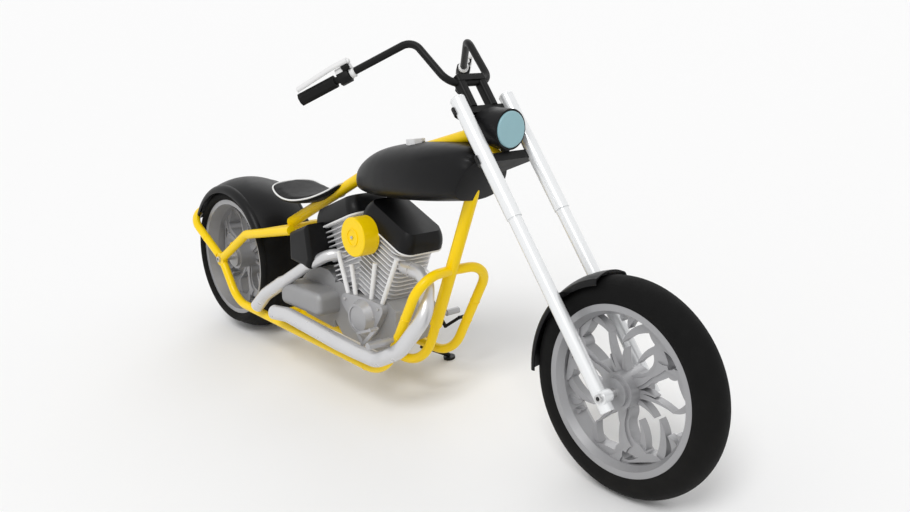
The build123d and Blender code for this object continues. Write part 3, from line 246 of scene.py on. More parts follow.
class EffectGroup:
    """A shader node group with named sockets that several finishes share."""

    def __init__(self, name: str, inputs: dict[str, str], outputs: dict[str, str]) -> None:
        """Makes the empty group with its sockets.

        Args:
            name: The group's name.
            inputs: Socket types by input name.
            outputs: Socket types by output name.
        """
        self.tree = bpy.data.node_groups.new(name, "ShaderNodeTree")
        for label, kind in inputs.items():
            self.tree.interface.new_socket(label, in_out="INPUT", socket_type=kind)
        for label, kind in outputs.items():
            self.tree.interface.new_socket(label, in_out="OUTPUT", socket_type=kind)
        self.source = self.tree.nodes.new("NodeGroupInput")
        self.sink = self.tree.nodes.new("NodeGroupOutput")

    def node(self, kind: str, **settings: object) -> bpy.types.Node:
        """Adds a node to the group.

        Args:
            kind: The node's type name.
            **settings: Attributes to set on it.

        Returns:
            The new node.
        """
        made = self.tree.nodes.new(kind)
        for label, value in settings.items():
            setattr(made, label, value)
        return made

    def link(self, start: bpy.types.NodeSocket, end: bpy.types.NodeSocket) -> None:
        """Joins two sockets.

        Args:
            start: The socket that gives the value.
            end: The socket that takes it.
        """
        self.tree.links.new(start, end)

    def noise(
        self, scale: bpy.types.NodeSocket, detail: float,
        stretch: tuple[float, float, float] = (1.0, 1.0, 1.0),
    ) -> bpy.types.NodeSocket:
        """Adds object-space noise.

        Args:
            scale: The socket that gives the noise's scale.
            detail: How many octaves it has.
            stretch: How much finer it runs along each axis.

        Returns:
            The noise's value.
        """
        place = self.node("ShaderNodeTexCoord")
        turn = self.node("ShaderNodeMapping")
        turn.inputs["Scale"].default_value = stretch
        cloud = self.node("ShaderNodeTexNoise")
        cloud.inputs["Detail"].default_value = detail
        self.link(place.outputs["Object"], turn.inputs["Vector"])
        self.link(turn.outputs["Vector"], cloud.inputs["Vector"])
        self.link(scale, cloud.inputs["Scale"])
        return cloud.outputs["Fac"]

    def math(self, operation: str, first: object, second: object) -> bpy.types.NodeSocket:
        """Adds a math node.

        Args:
            operation: The node's operation.
            first: A socket or a number.
            second: A socket or a number.

        Returns:
            The result's socket.
        """
        step = self.node("ShaderNodeMath", operation=operation)
        for index, value in enumerate((first, second)):
            if isinstance(value, bpy.types.NodeSocket):
                self.link(value, step.inputs[index])
            else:
                step.inputs[index].default_value = value
        return step.outputs[0]


class Effects:
    """The shared effects: colour drift, brushed lines, pebbled grain and road dust."""

    DUST_SCALE = 26.0
    BRUSH_STRETCH = (1.0, 14.0, 14.0)

    def __init__(self) -> None:
        """Builds every group once."""
        self.drift = self._drift()
        self.lines = self._lines()
        self.pebbles = self._pebbles()
        self.dust = self._dust()

    @staticmethod
    def _drift() -> bpy.types.NodeTree:
        """Builds slow changes of shade and roughness with a fine height.

        Returns:
            The group's tree.
        """
        group = EffectGroup(
            "shade_drift",
            {
                "Color": "NodeSocketColor", "Scale": "NodeSocketFloat", "Spread": "NodeSocketFloat",
                "Roughness": "NodeSocketFloat", "Roughness Spread": "NodeSocketFloat",
            },
            {"Color": "NodeSocketColor", "Roughness": "NodeSocketFloat", "Height": "NodeSocketFloat"},
        )
        source = group.source.outputs
        coarse = group.noise(source["Scale"], 5.0)
        centred = group.math("SUBTRACT", coarse, 0.5)
        shade = group.math("ADD", group.math("MULTIPLY", centred, source["Spread"]), 1.0)
        tint = group.node("ShaderNodeVectorMath", operation="SCALE")
        group.link(source["Color"], tint.inputs[0])
        group.link(shade, tint.inputs["Scale"])
        group.link(tint.outputs[0], group.sink.inputs["Color"])
        smear = group.noise(group.math("MULTIPLY", source["Scale"], 2.7), 3.0)
        spread = group.math("MULTIPLY", group.math("SUBTRACT", smear, 0.5), source["Roughness Spread"])
        group.link(group.math("ADD", source["Roughness"], spread), group.sink.inputs["Roughness"])
        fine = group.noise(group.math("MULTIPLY", source["Scale"], 40.0), 2.0)
        group.link(fine, group.sink.inputs["Height"])
        return group.tree

    @staticmethod
    def _lines() -> bpy.types.NodeTree:
        """Builds the fine parallel lines of brushed or turned metal.

        Returns:
            The group's tree.
        """
        group = EffectGroup(
            "brushed_lines",
            {"Scale": "NodeSocketFloat", "Height": "NodeSocketFloat", "Fineness": "NodeSocketFloat"},
            {"Height": "NodeSocketFloat"},
        )
        source = group.source.outputs
        streak = group.noise(source["Scale"], 3.0, Effects.BRUSH_STRETCH)
        mixed = group.math("MULTIPLY", streak, source["Fineness"])
        group.link(group.math("ADD", mixed, source["Height"]), group.sink.inputs["Height"])
        return group.tree

    @staticmethod
    def _pebbles() -> bpy.types.NodeTree:
        """Builds the closed cells of leather, rubber and sand-cast metal.

        Returns:
            The group's tree.
        """
        group = EffectGroup(
            "pebbled_grain",
            {"Scale": "NodeSocketFloat", "Depth": "NodeSocketFloat"},
            {"Height": "NodeSocketFloat"},
        )
        source = group.source.outputs
        place = group.node("ShaderNodeTexCoord")
        cells = group.node("ShaderNodeTexVoronoi", feature="SMOOTH_F1")
        group.link(place.outputs["Object"], cells.inputs["Vector"])
        group.link(source["Scale"], cells.inputs["Scale"])
        deep = group.math("MULTIPLY", cells.outputs["Distance"], source["Depth"])
        group.link(group.math("SUBTRACT", 1.0, deep), group.sink.inputs["Height"])
        return group.tree

    @staticmethod
    def _dust() -> bpy.types.NodeTree:
        """Builds a thin film of road dust that fades with height above the ground.

        Returns:
            The group's tree.
        """
        group = EffectGroup(
            "road_dust",
            {
                "Color": "NodeSocketColor", "Dust Color": "NodeSocketColor", "Amount": "NodeSocketFloat",
                "Reach": "NodeSocketFloat",
            },
            {"Color": "NodeSocketColor"},
        )
        source = group.source.outputs
        place = group.node("ShaderNodeTexCoord")
        split = group.node("ShaderNodeSeparateXYZ")
        group.link(place.outputs["Object"], split.inputs[0])
        height = group.math("DIVIDE", split.outputs["Z"], source["Reach"])
        low = group.node("ShaderNodeMath", operation="SUBTRACT", use_clamp=True)
        low.inputs[0].default_value = 1.0
        group.link(height, low.inputs[1])
        scale = group.node("ShaderNodeValue")
        scale.outputs[0].default_value = Effects.DUST_SCALE
        patches = group.noise(scale.outputs[0], 6.0)
        amount = group.math("MULTIPLY", group.math("MULTIPLY", low.outputs[0], patches), source["Amount"])
        blend = group.node("ShaderNodeMix", data_type="RGBA")
        group.link(amount, blend.inputs["Factor"])
        group.link(source["Color"], blend.inputs[6])
        group.link(source["Dust Color"], blend.inputs[7])
        group.link(blend.outputs[2], group.sink.inputs["Color"])
        return group.tree


@dataclass(frozen=True)
class Finish:
    """One surface finish of the machine, made from the shared effects."""

    COAT_ROUGHNESS = 0.06
    ROUGHNESS_SPREAD = 0.16
    DUST_COLOR = (0.30, 0.27, 0.23, 1.0)
    DUST_REACH = 0.55
    BUMP_DISTANCE = 0.002
    BRUSH_SCALE = 90.0
    CELL_SCALES = {Grain.CAST: 900.0, Grain.LEATHER: 420.0, Grain.RUBBER: 700.0}

    name: str
    grain: Grain
    color: tuple[float, float, float]
    roughness: float
    metallic: float = 0.0
    coat: float = 0.0
    shade_spread: float = 0.10
    grain_scale: float = 9.0
    bump: float = 0.05
    dust: float = 0.0
    specular: float = 0.5

    def material(self, effects: Effects) -> bpy.types.Material:
        """Builds the finish's material, or finds it once built.

        Args:
            effects: The shared node groups.

        Returns:
            The material.
        """
        if self.name in bpy.data.materials:
            return bpy.data.materials[self.name]
        made = bpy.data.materials.new(self.name)
        made.use_nodes = True
        tree = made.node_tree
        shader = tree.nodes["Principled BSDF"]
        feed(shader, {
            "Metallic": self.metallic, "Coat Weight": self.coat, "Coat Roughness": self.COAT_ROUGHNESS,
            "Specular IOR Level": self.specular,
        })
        drift = self._group(tree, effects.drift, {
            "Color": (*self.color, 1.0), "Scale": self.grain_scale, "Spread": self.shade_spread,
            "Roughness": self.roughness, "Roughness Spread": self.ROUGHNESS_SPREAD,
        })
        color = drift.outputs["Color"]
        if self.dust:
            film = self._group(tree, effects.dust, {
                "Dust Color": self.DUST_COLOR, "Amount": self.dust, "Reach": self.DUST_REACH,
            })
            tree.links.new(color, film.inputs["Color"])
            color = film.outputs["Color"]
        tree.links.new(color, shader.inputs["Base Color"])
        tree.links.new(drift.outputs["Roughness"], shader.inputs["Roughness"])
        height = self._height(tree, effects, drift.outputs["Height"])
        bump = tree.nodes.new("ShaderNodeBump")
        feed(bump, {"Strength": self.bump, "Distance": self.BUMP_DISTANCE})
        tree.links.new(height, bump.inputs["Height"])
        tree.links.new(bump.outputs["Normal"], shader.inputs["Normal"])
        return made

    @staticmethod
    def _group(
        tree: bpy.types.NodeTree, effect: bpy.types.NodeTree, values: dict[str, object]
    ) -> bpy.types.Node:
        """Places a shared effect in the material.

        Args:
            tree: The material's nodes.
            effect: The shared group.
            values: Its constant inputs by name.

        Returns:
            The group's node.
        """
        placed = tree.nodes.new("ShaderNodeGroup")
        placed.node_tree = effect
        feed(placed, values)
        return placed

    def _height(
        self, tree: bpy.types.NodeTree, effects: Effects, fine: bpy.types.NodeSocket
    ) -> bpy.types.NodeSocket:
        """Chooses the height that the finish's grain gives.

        Args:
            tree: The material's nodes.
            effects: The shared node groups.
            fine: The fine height of the colour drift.

        Returns:
            The height's socket.
        """
        if self.grain in (Grain.BRUSHED, Grain.LENS):
            lines = self._group(tree, effects.lines, {"Scale": self.BRUSH_SCALE, "Fineness": 1.0})
            tree.links.new(fine, lines.inputs["Height"])
            return lines.outputs["Height"]
        if self.grain in self.CELL_SCALES:
            values = {"Scale": self.CELL_SCALES[self.grain], "Depth": 1.0}
            return self._group(tree, effects.pebbles, values).outputs["Height"]
        return fine


@dataclass
class Paintwork:
    """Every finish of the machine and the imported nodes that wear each."""

    effects: Effects
    frame_yellow: Finish = Finish(
        "frame_yellow", Grain.PAINT, (1.0, 0.68, 0.0), 0.36, coat=0.12, bump=0.02, dust=0.04, specular=0.22,
        shade_spread=0.05,
    )
    body_black: Finish = Finish(
        "body_black", Grain.PAINT, (0.006, 0.006, 0.0065), 0.40, coat=0.03, bump=0.02, specular=0.16,
    )
    fork_white: Finish = Finish(
        "fork_white", Grain.PAINT, (0.90, 0.90, 0.905), 0.30, coat=0.25, bump=0.02, shade_spread=0.04,
    )
    bar_black: Finish = Finish(
        "bar_black", Grain.PAINT, (0.006, 0.006, 0.006), 0.45, bump=0.05, specular=0.18,
    )
    part_white: Finish = Finish("part_white", Grain.PAINT, (0.80, 0.80, 0.80), 0.35, bump=0.03)
    wheel_grey: Finish = Finish(
        "wheel_grey", Grain.BRUSHED, (0.36, 0.36, 0.37), 0.40, 0.45, bump=0.10, dust=0.08,
    )
    case_grey: Finish = Finish(
        "case_grey", Grain.CAST, (0.34, 0.34, 0.345), 0.50, 0.30, bump=0.30, dust=0.10,
    )
    cover_grey: Finish = Finish("cover_grey", Grain.BRUSHED, (0.44, 0.44, 0.45), 0.36, 0.4, bump=0.08)
    fin_white: Finish = Finish("fin_white", Grain.CAST, (0.72, 0.72, 0.73), 0.42, 0.30, bump=0.16)
    pipe_satin: Finish = Finish("pipe_satin", Grain.BRUSHED, (0.66, 0.66, 0.67), 0.30, 0.55, bump=0.06)
    axle_steel: Finish = Finish("axle_steel", Grain.BRUSHED, (0.55, 0.55, 0.56), 0.30, 0.8, bump=0.08)
    tyre_black: Finish = Finish(
        "tyre_black", Grain.RUBBER, (0.004, 0.004, 0.004), 0.78, bump=0.30, dust=0.03, specular=0.14,
    )
    grip_black: Finish = Finish(
        "grip_black", Grain.RUBBER, (0.006, 0.006, 0.006), 0.66, bump=0.35, specular=0.2,
    )
    seat_black: Finish = Finish(
        "seat_black", Grain.LEATHER, (0.006, 0.006, 0.0065), 0.55, bump=0.50, specular=0.2,
    )
    lens_teal: Finish = Finish("lens_teal", Grain.LENS, (0.26, 0.47, 0.52), 0.18, coat=0.6, bump=0.10)
    piping_white: Finish = Finish("piping_white", Grain.LEATHER, (0.85, 0.85, 0.84), 0.5, bump=0.25)
    nodes: dict[str, tuple[str, ...]] = field(default_factory=lambda: {
        "frame_yellow": (
            "backbone_tube", "down_tube", "guard_loop_right", "guard_loop_left", "lower_rail_right",
            "lower_rail_left", "upper_stay_right", "upper_stay_left", "rear_hoop", "rail_cross_tube",
            "steering_neck", "air_cleaner", "stand_lug",
        ),
        "body_black": (
            "fuel_tank", "rear_fender", "front_fender", "front_rocker_cover", "rear_rocker_cover",
            "oil_tank", "headlamp_shell",
        ),
        "fork_white": ("fork_upper_right", "fork_upper_left", "fork_lower_right", "fork_lower_left"),
        "bar_black": (
            "upper_clamp", "lower_clamp", "bar_risers", "handlebar", "perch_right", "perch_left",
            "side_stand", "shift_lever",
        ),
        "part_white": ("lever_right", "lever_left", "fuel_cap", "pushrod_tubes"),
        "wheel_grey": ("front_rim", "rear_rim", "rear_pulley"),
        "case_grey": ("engine_case", "gearbox"),
        "cover_grey": ("cam_cover", "primary_cover", "brake_pedal", "foot_peg_right", "foot_peg_left"),
        "fin_white": ("front_cylinder", "rear_cylinder"),
        "pipe_satin": ("front_exhaust", "rear_exhaust"),
        "axle_steel": ("front_axle", "rear_axle"),
        "tyre_black": ("front_tyre", "rear_tyre"),
        "grip_black": ("grip_right", "grip_left", "drive_belt"),
        "lens_teal": ("headlamp_lens",),
        "seat_black": ("seat",),
    })

    def dress(self, packed: dict[str, bpy.types.Object]) -> None:
        """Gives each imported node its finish.

        Args:
            packed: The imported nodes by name.
        """
        for finish, names in self.nodes.items():
            made = getattr(self, finish).material(self.effects)
            for name in names:
                for slot in packed[name].material_slots:
                    slot.material = made
        LOG.info("dressed %d packed nodes", len(packed))

    def fit(self, piece: bpy.types.Object, finish: Finish, body: Body, slot: str) -> None:
        """Puts a finish on a new piece, and gives it its body and material slot.

        Args:
            piece: The piece.
            finish: Its finish.
            body: The body that it rides on.
            slot: The record's material slot.
        """
        piece.data.materials.clear()
        piece.data.materials.append(finish.material(self.effects))
        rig.ride(piece, body.value)
        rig.slot(piece, slot)


class Bench:
    """The small modelling steps that every sub-assembly uses."""

    END_COSINE = 0.99

    @staticmethod
    def clear() -> None:
        """Deselects everything and leaves edit mode."""
        if bpy.context.object and bpy.context.object.mode != "OBJECT":
            bpy.ops.object.mode_set(mode="OBJECT")
        bpy.ops.object.select_all(action="DESELECT")

    @staticmethod
    def only(piece: bpy.types.Object) -> None:
        """Selects one piece and makes it active.

        Args:
            piece: The piece.
        """
        Bench.clear()
        piece.select_set(True)
        bpy.context.view_layer.objects.active = piece

    @staticmethod
    def settle(piece: bpy.types.Object, name: str) -> bpy.types.Object:
        """Names a piece and puts its place into its mesh.

        Args:
            piece: The piece.
            name: Its name.

        Returns:
            The piece.
        """
        Bench.only(piece)
        bpy.ops.object.transform_apply(location=True, rotation=True, scale=True)
        piece.name = name
        piece.data.name = name
        return piece

    @staticmethod
    def join(parts: list[bpy.types.Object], name: str) -> bpy.types.Object:
        """Joins copies into one piece.

        Args:
            parts: The copies.
            name: The joined piece's name.

        Returns:
            The joined piece.
        """
        Bench.clear()
        for part in parts:
            part.select_set(True)
        bpy.context.view_layer.objects.active = parts[0]
        if len(parts) > 1:
            bpy.ops.object.join()
        return Bench.settle(parts[0], name)

    @staticmethod
    def soften(piece: bpy.types.Object, width: float, segments: int = 2) -> None:
        """Rounds a piece's sharp edges with a bevel and smooths its shading.

        Args:
            piece: The piece.
            width: The bevel's width in metres.
            segments: How many steps the bevel has.
        """
        Bench.only(piece)
        bevel = piece.modifiers.new("edge", "BEVEL")
        bevel.width = width
        bevel.segments = segments
        bevel.limit_method = "ANGLE"
        bevel.angle_limit = SMOOTH_ANGLE
        bpy.ops.object.modifier_apply(modifier=bevel.name)
        bpy.ops.object.shade_smooth_by_angle(angle=SMOOTH_ANGLE)

    @staticmethod
    def step_face(piece: bpy.types.Object, look: int, inset: float, rise: float) -> None:
        """Insets an end face of an upright piece and moves what is inside the inset.

        Args:
            piece: The piece, which is active.
            look: 1 for the upper face and -1 for the lower.
            inset: The inset in millimetres.
            rise: How far the middle moves up in millimetres.
        """
        bpy.ops.object.mode_set(mode="EDIT")
        bpy.ops.mesh.select_all(action="DESELECT")
        mesh = bmesh.from_edit_mesh(piece.data)
        for face in mesh.faces:
            face.select = face.normal.z * look > Bench.END_COSINE
        mesh.select_flush(True)
        bmesh.update_edit_mesh(piece.data)
        bpy.ops.mesh.inset(thickness=inset * MM)
        bpy.ops.mesh.extrude_region_move(TRANSFORM_OT_translate={"value": (0, 0, rise * MM)})
        bpy.ops.object.mode_set(mode="OBJECT")

    @staticmethod
    def face_outwards() -> None:
        """Turns every face of the active piece outwards, and leaves edit mode."""
        bpy.ops.object.mode_set(mode="EDIT")
        bpy.ops.mesh.select_all(action="SELECT")
        bpy.ops.mesh.normals_make_consistent(inside=False)
        bpy.ops.object.mode_set(mode="OBJECT")

    @staticmethod
    def subdivide(piece: bpy.types.Object, levels: int) -> None:
        """Rounds a coarse piece by subdivision.

        Args:
            piece: The piece, which is active.
            levels: How many times it is divided.
        """
        smooth = piece.modifiers.new("round", "SUBSURF")
        smooth.levels = levels
        smooth.render_levels = levels
        bpy.ops.object.modifier_apply(modifier=smooth.name)

    @staticmethod
    def cut_away(point: Vector, outward: Vector) -> None:
        """Cuts the active piece with a plane, drops what lies outside it and closes the cut.

        Args:
            point: A point of the plane.
            outward: The direction towards what is dropped.
        """
        bpy.ops.object.mode_set(mode="EDIT")
        bpy.ops.mesh.select_all(action="SELECT")
        bpy.ops.mesh.bisect(plane_co=point, plane_no=outward, use_fill=True, clear_outer=True)
        bpy.ops.object.mode_set(mode="OBJECT")

    @staticmethod
    def facing(direction: Vector, point: Vector) -> Matrix:
        """Finds the matrix that stands local Z along a direction at a point.

        Args:
            direction: Where local Z looks.
            point: Where the origin goes.

        Returns:
            The matrix.
        """
        return Matrix.Translation(point) @ direction.to_track_quat("Z", "Y").to_matrix().to_4x4()


@dataclass
class Fasteners:
    """Socket-head bolts, modelled once and copied to each place."""

    paint: Paintwork
    radius: float = 6.0
    height: float = 6.0
    rim_share: float = 0.42
    socket_share: float = 0.5
    edge: float = 0.0007

    def head(self) -> bpy.types.Object:
        """Models one bolt head with its socket.

        Returns:
            The bolt head, standing on the origin.
        """
        Bench.clear()
        bpy.ops.mesh.primitive_cylinder_add(
            vertices=20, radius=self.radius * MM, depth=self.height * MM,
            location=(0, 0, self.height * MM / 2),
        )
        head = bpy.context.object
        Bench.step_face(head, 1, self.radius * self.rim_share, -self.height * self.socket_share)
        Bench.soften(head, self.edge)
        return Bench.settle(head, "bolt_pattern_head")

    def set_out(self, name: str, seats: list[tuple[float, float, float]]) -> None:
        """Copies the bolt head to each seat on the engine's right side and joins the copies.

        Args:
            name: The piece's name.
            seats: Where the heads' undersides sit, on the upright machine.
        """
        head = self.head()
        look = STANCE.aim(0, -1, 0)
        copies = []
        for seat in seats:
            copy = head.copy()
            copy.data = head.data.copy()
            bpy.context.collection.objects.link(copy)
            copy.data.transform(Bench.facing(look, STANCE.place(*seat)))
            copies.append(copy)
        bpy.data.objects.remove(head, do_unlink=True)
        piece = Bench.join(copies, name)
        self.paint.fit(piece, self.paint.axle_steel, Body.CHASSIS, "axle_steel")
        LOG.info("%s: %d heads", name, len(seats))


@dataclass(frozen=True)
class Seam:
    """A raised ring round a tube where two lengths meet, on the upright machine."""

    centre: tuple[float, float, float]
    along: tuple[float, float, float]
    tube_radius: float


@dataclass
class SeamRings:
    """The thin weld rings at the frame's joints and the steps of the fork."""

    paint: Paintwork

    def ring(self, seam: Seam, thickness: float) -> bpy.types.Object:
        """Models one ring.

        Args:
            seam: Where the ring goes.
            thickness: The ring's own radius in millimetres.

        Returns:
            The ring.
        """
        Bench.clear()
        bpy.ops.mesh.primitive_torus_add(
            major_radius=seam.tube_radius * MM, minor_radius=thickness * MM,
            major_segments=36, minor_segments=8,
        )
        ring = bpy.context.object
        ring.data.transform(Bench.facing(STANCE.aim(*seam.along), STANCE.place(*seam.centre)))
        bpy.ops.object.shade_smooth()
        return ring

    def set_out(
        self, name: str, seams: list[Seam], thickness: float, body: Body, finish: Finish, slot: str
    ) -> None:
        """Makes the rings of one group.

        Args:
            name: The piece's name.
            seams: Where the rings go.
            thickness: Each ring's own radius in millimetres.
            body: The body that they ride on.
            finish: Their finish.
            slot: The record's material slot.
        """
        piece = Bench.join([self.ring(seam, thickness) for seam in seams], name)
        self.paint.fit(piece, finish, body, slot)
        LOG.info("%s: %d rings", name, len(seams))


@dataclass(frozen=True)
class SeatSection:
    """One cut across the seat: its place, half width, underside and top in millimetres."""

    x: float
    half_width: float
    bottom: float
    top: float


@dataclass
class Saddle:
    """The padded seat with white piping round its edge."""

    paint: Paintwork
    sections: tuple[SeatSection, ...] = (
        SeatSection(352, 98, 708, 732),
        SeatSection(420, 130, 667, 712),
        SeatSection(520, 134, 653, 690),
        SeatSection(620, 100, 675, 700),
        SeatSection(700, 56, 715, 736),
        SeatSection(768, 32, 761, 774),
    )
    columns: int = 8
    crown_fall: float = 0.45
    voxel: float = 0.006
    pressure: float = 3.0
    fill_frames: int = 12
    hold: float = 0.004
    welt_inset: float = 0.96
    welt_rise: float = 3.0
    welt_radius: float = 0.0035

    def pad(self) -> bpy.types.Object:
        """Shapes the pad from a grid that is drawn to each section and given its thickness.

        Returns:
            The pad before it is filled.
        """
        Bench.clear()
        bpy.ops.mesh.primitive_grid_add(
            x_subdivisions=len(self.sections) - 1, y_subdivisions=self.columns, size=2.0
        )
        pad = bpy.context.object
        bpy.ops.object.mode_set(mode="EDIT")
        bpy.ops.mesh.select_all(action="SELECT")
        bpy.ops.mesh.extrude_region_move(TRANSFORM_OT_translate={"value": (0, 0, 1.0)})
        bpy.ops.object.mode_set(mode="OBJECT")
        last = len(self.sections) - 1
        for vertex in pad.data.vertices:
            section = self.sections[round((vertex.co.x + 1) / 2 * last)]
            across = vertex.co.y
            crown = 1.0 - self.crown_fall * across**2
            rise = section.top if vertex.co.z > 0.5 else section.bottom
            middle = 0.5 * (section.top + section.bottom)
            height = middle + (rise - middle) * crown
            vertex.co = STANCE.place(section.x, across * section.half_width, height)
        Bench.face_outwards()
        Bench.subdivide(pad, 2)
        return Bench.settle(pad, "saddle")

    def fill(self, pad: bpy.types.Object) -> None:
        """Fills the pad like a cushion, and holds each point near where it was.

        Args:
            pad: The pad.
        """
        Bench.only(pad)
        remesh = pad.modifiers.new("skin", "REMESH")
        remesh.mode = "VOXEL"
        remesh.voxel_size = self.voxel
        bpy.ops.object.modifier_apply(modifier=remesh.name)
        before = [vertex.co.copy() for vertex in pad.data.vertices]
        cloth = pad.modifiers.new("cloth", "CLOTH")
        cloth.settings.use_pressure = True
        cloth.settings.uniform_pressure_force = self.pressure
        cloth.settings.effector_weights.gravity = 0.0
        cloth.settings.quality = 4
        scene = bpy.context.scene
        for frame in range(1, self.fill_frames + 1):
            scene.frame_set(frame)
        bpy.ops.object.modifier_apply(modifier=cloth.name)
        scene.frame_set(1)
        for vertex, old in zip(pad.data.vertices, before):
            step = vertex.co - old
            if step.length > self.hold:
                vertex.co = old + step.normalized() * self.hold

    def piping(self) -> bpy.types.Object:
        """Runs a thin welt round the seat's edge.

        Returns:
            The welt.
        """
        right = [
            (s.x, -s.half_width * self.welt_inset, 0.5 * (s.top + s.bottom) + self.welt_rise)
            for s in self.sections
        ]
        left = [(x, -y, z) for x, y, z in reversed(right)]
        points = [STANCE.place(*point) for point in right + left]
        curve = bpy.data.curves.new("seat_piping", "CURVE")
        curve.dimensions = "3D"
        curve.bevel_depth = self.welt_radius
        curve.bevel_resolution = 3
        spline = curve.splines.new("NURBS")
        spline.points.add(len(points) - 1)
        for knot, point in zip(spline.points, points):
            knot.co = (*point, 1.0)
        spline.order_u = 3
        spline.use_cyclic_u = True
        curve.resolution_u = 10
        welt = bpy.data.objects.new("seat_piping", curve)
        bpy.context.collection.objects.link(welt)
        Bench.only(welt)
        bpy.ops.object.convert(target="MESH")
        bpy.ops.object.shade_smooth()
        return Bench.settle(bpy.context.object, "seat_piping")

    def build(self) -> None:
        """Builds the seat and its piping, and fits them to the chassis."""
        pad = self.pad()
        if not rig.quick():
            self.fill(pad)
        Bench.only(pad)
        bpy.ops.object.shade_smooth()
        self.paint.fit(pad, self.paint.seat_black, Body.CHASSIS, "seat_leather")
        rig.replaces(pad, "seat")
        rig.padded(pad, fill=0.8)
        welt = self.piping()
        self.paint.fit(welt, self.paint.piping_white, Body.CHASSIS, "white_metal")
        LOG.info("saddle: %d faces", len(pad.data.polygons))


@dataclass(frozen=True)
class TankSection:
    """One cut across the fuel tank: its place, half width, underside, waist and top in millimetres."""

    x: float
    half_width: float
    bottom: float
    waist: float
    top: float


@dataclass
class FuelTank:
    """The long rounded fuel tank, drawn out from a ring and cut square behind the fork."""

    paint: Paintwork
    sections: tuple[TankSection, ...] = (
        TankSection(900, 8, 790, 800, 810),
        TankSection(905, 48, 766, 800, 834),
        TankSection(943, 82, 756, 812, 878),
        TankSection(1039, 116, 755, 834, 932),
        TankSection(1123, 133, 758, 852, 955),
        TankSection(1220, 143, 764, 864, 973),
        TankSection(1366, 148, 780, 878, 992),
        TankSection(1509, 126, 802, 884, 1004),
        TankSection(1612, 96, 816, 886, 990),
    )
    ring_points: int = 20
    nose_cuts: tuple[tuple[tuple[float, float], tuple[float, float]], ...] = (
        ((1515, 790), (1593, 952)), ((1593, 952), (1551, 1010)),
    )
    side_power: float = 0.86
    upper_power: float = 0.78
    lower_power: float = 0.62
    edge: float = 0.004

    def outline(self, section: TankSection, share: float) -> Vector:
        """Finds a point of a section's outline.

        Args:
            section: The section.
            share: How far round it the point is, from 0 to 1.

        Returns:
            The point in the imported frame.
        """
        angle = 2 * math.pi * share
        across, rise = math.sin(angle), math.cos(angle)
        power = self.upper_power if rise > 0 else self.lower_power
        y = section.half_width * math.copysign(abs(across) ** self.side_power, across)
        reach = section.top - section.waist if rise > 0 else section.waist - section.bottom
        z = section.waist + reach * math.copysign(abs(rise) ** power, rise)
        return STANCE.place(section.x, y, z)

    def build(self) -> None:
        """Builds the tank and hides the plain solid that it replaces."""
        Bench.clear()
        bpy.ops.mesh.primitive_circle_add(vertices=self.ring_points, radius=1.0, fill_type="NGON")
        tank = bpy.context.object
        bpy.ops.object.mode_set(mode="EDIT")
        bpy.ops.mesh.select_all(action="SELECT")
        for _ in self.sections[1:]:
            bpy.ops.mesh.extrude_region_move(TRANSFORM_OT_translate={"value": (0, 0, 1.0)})
        bpy.ops.object.mode_set(mode="OBJECT")
        for vertex in tank.data.vertices:
            section = self.sections[round(vertex.co.z)]
            share = math.atan2(vertex.co.x, vertex.co.y) / (2 * math.pi)
            vertex.co = self.outline(section, share)
        Bench.face_outwards()
        Bench.subdivide(tank, 3)
        for start, end in self.nose_cuts:
            first = STANCE.place(start[0], 0, start[1])
            run = STANCE.place(end[0], 0, end[1]) - first
            Bench.cut_away(first, run.cross(-STANCE.aim(0, 1, 0)).normalized())
        Bench.soften(tank, self.edge)
        Bench.settle(tank, "tank_shell")
        self.paint.fit(tank, self.paint.body_black, Body.CHASSIS, "body_paint")
        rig.replaces(tank, "fuel_tank")
        LOG.info("tank: %d faces", len(tank.data.polygons))


@dataclass(frozen=True)
class ForkFrame:
    """The fork's directions on the upright machine: down the steering axis, ahead of it, and across."""

    rake: float = math.radians(37.7)
    top_x: float = 1549.0
    top_z: float = 1152.0
    leg_offset: float = 66.0

    def point(self, down: float, ahead: float, across: float) -> tuple[float, float, float]:
        """Finds a place by its distances from the top of the fork.

        Args:
            down: Millimetres down the steering axis.
            ahead: Millimetres ahead of the axis.
            across: Millimetres to the rider's left.

        Returns:
            The place on the upright machine.
        """
        lean_x, lean_z = math.sin(self.rake), math.cos(self.rake)
        reach = ahead - self.leg_offset
        return (
            self.top_x + down * lean_x + reach * lean_z, across,
            self.top_z - down * lean_z + reach * lean_x,
        )

    def down(self) -> tuple[float, float, float]:
        """Finds the direction down the steering axis.

        Returns:
            The direction on the upright machine.
        """
        return (math.sin(self.rake), 0.0, -math.cos(self.rake))

    def ahead(self) -> tuple[float, float, float]:
        """Finds the direction ahead, square to the steering axis.

        Returns:
            The direction on the upright machine.
        """
        return (math.cos(self.rake), 0.0, math.sin(self.rake))


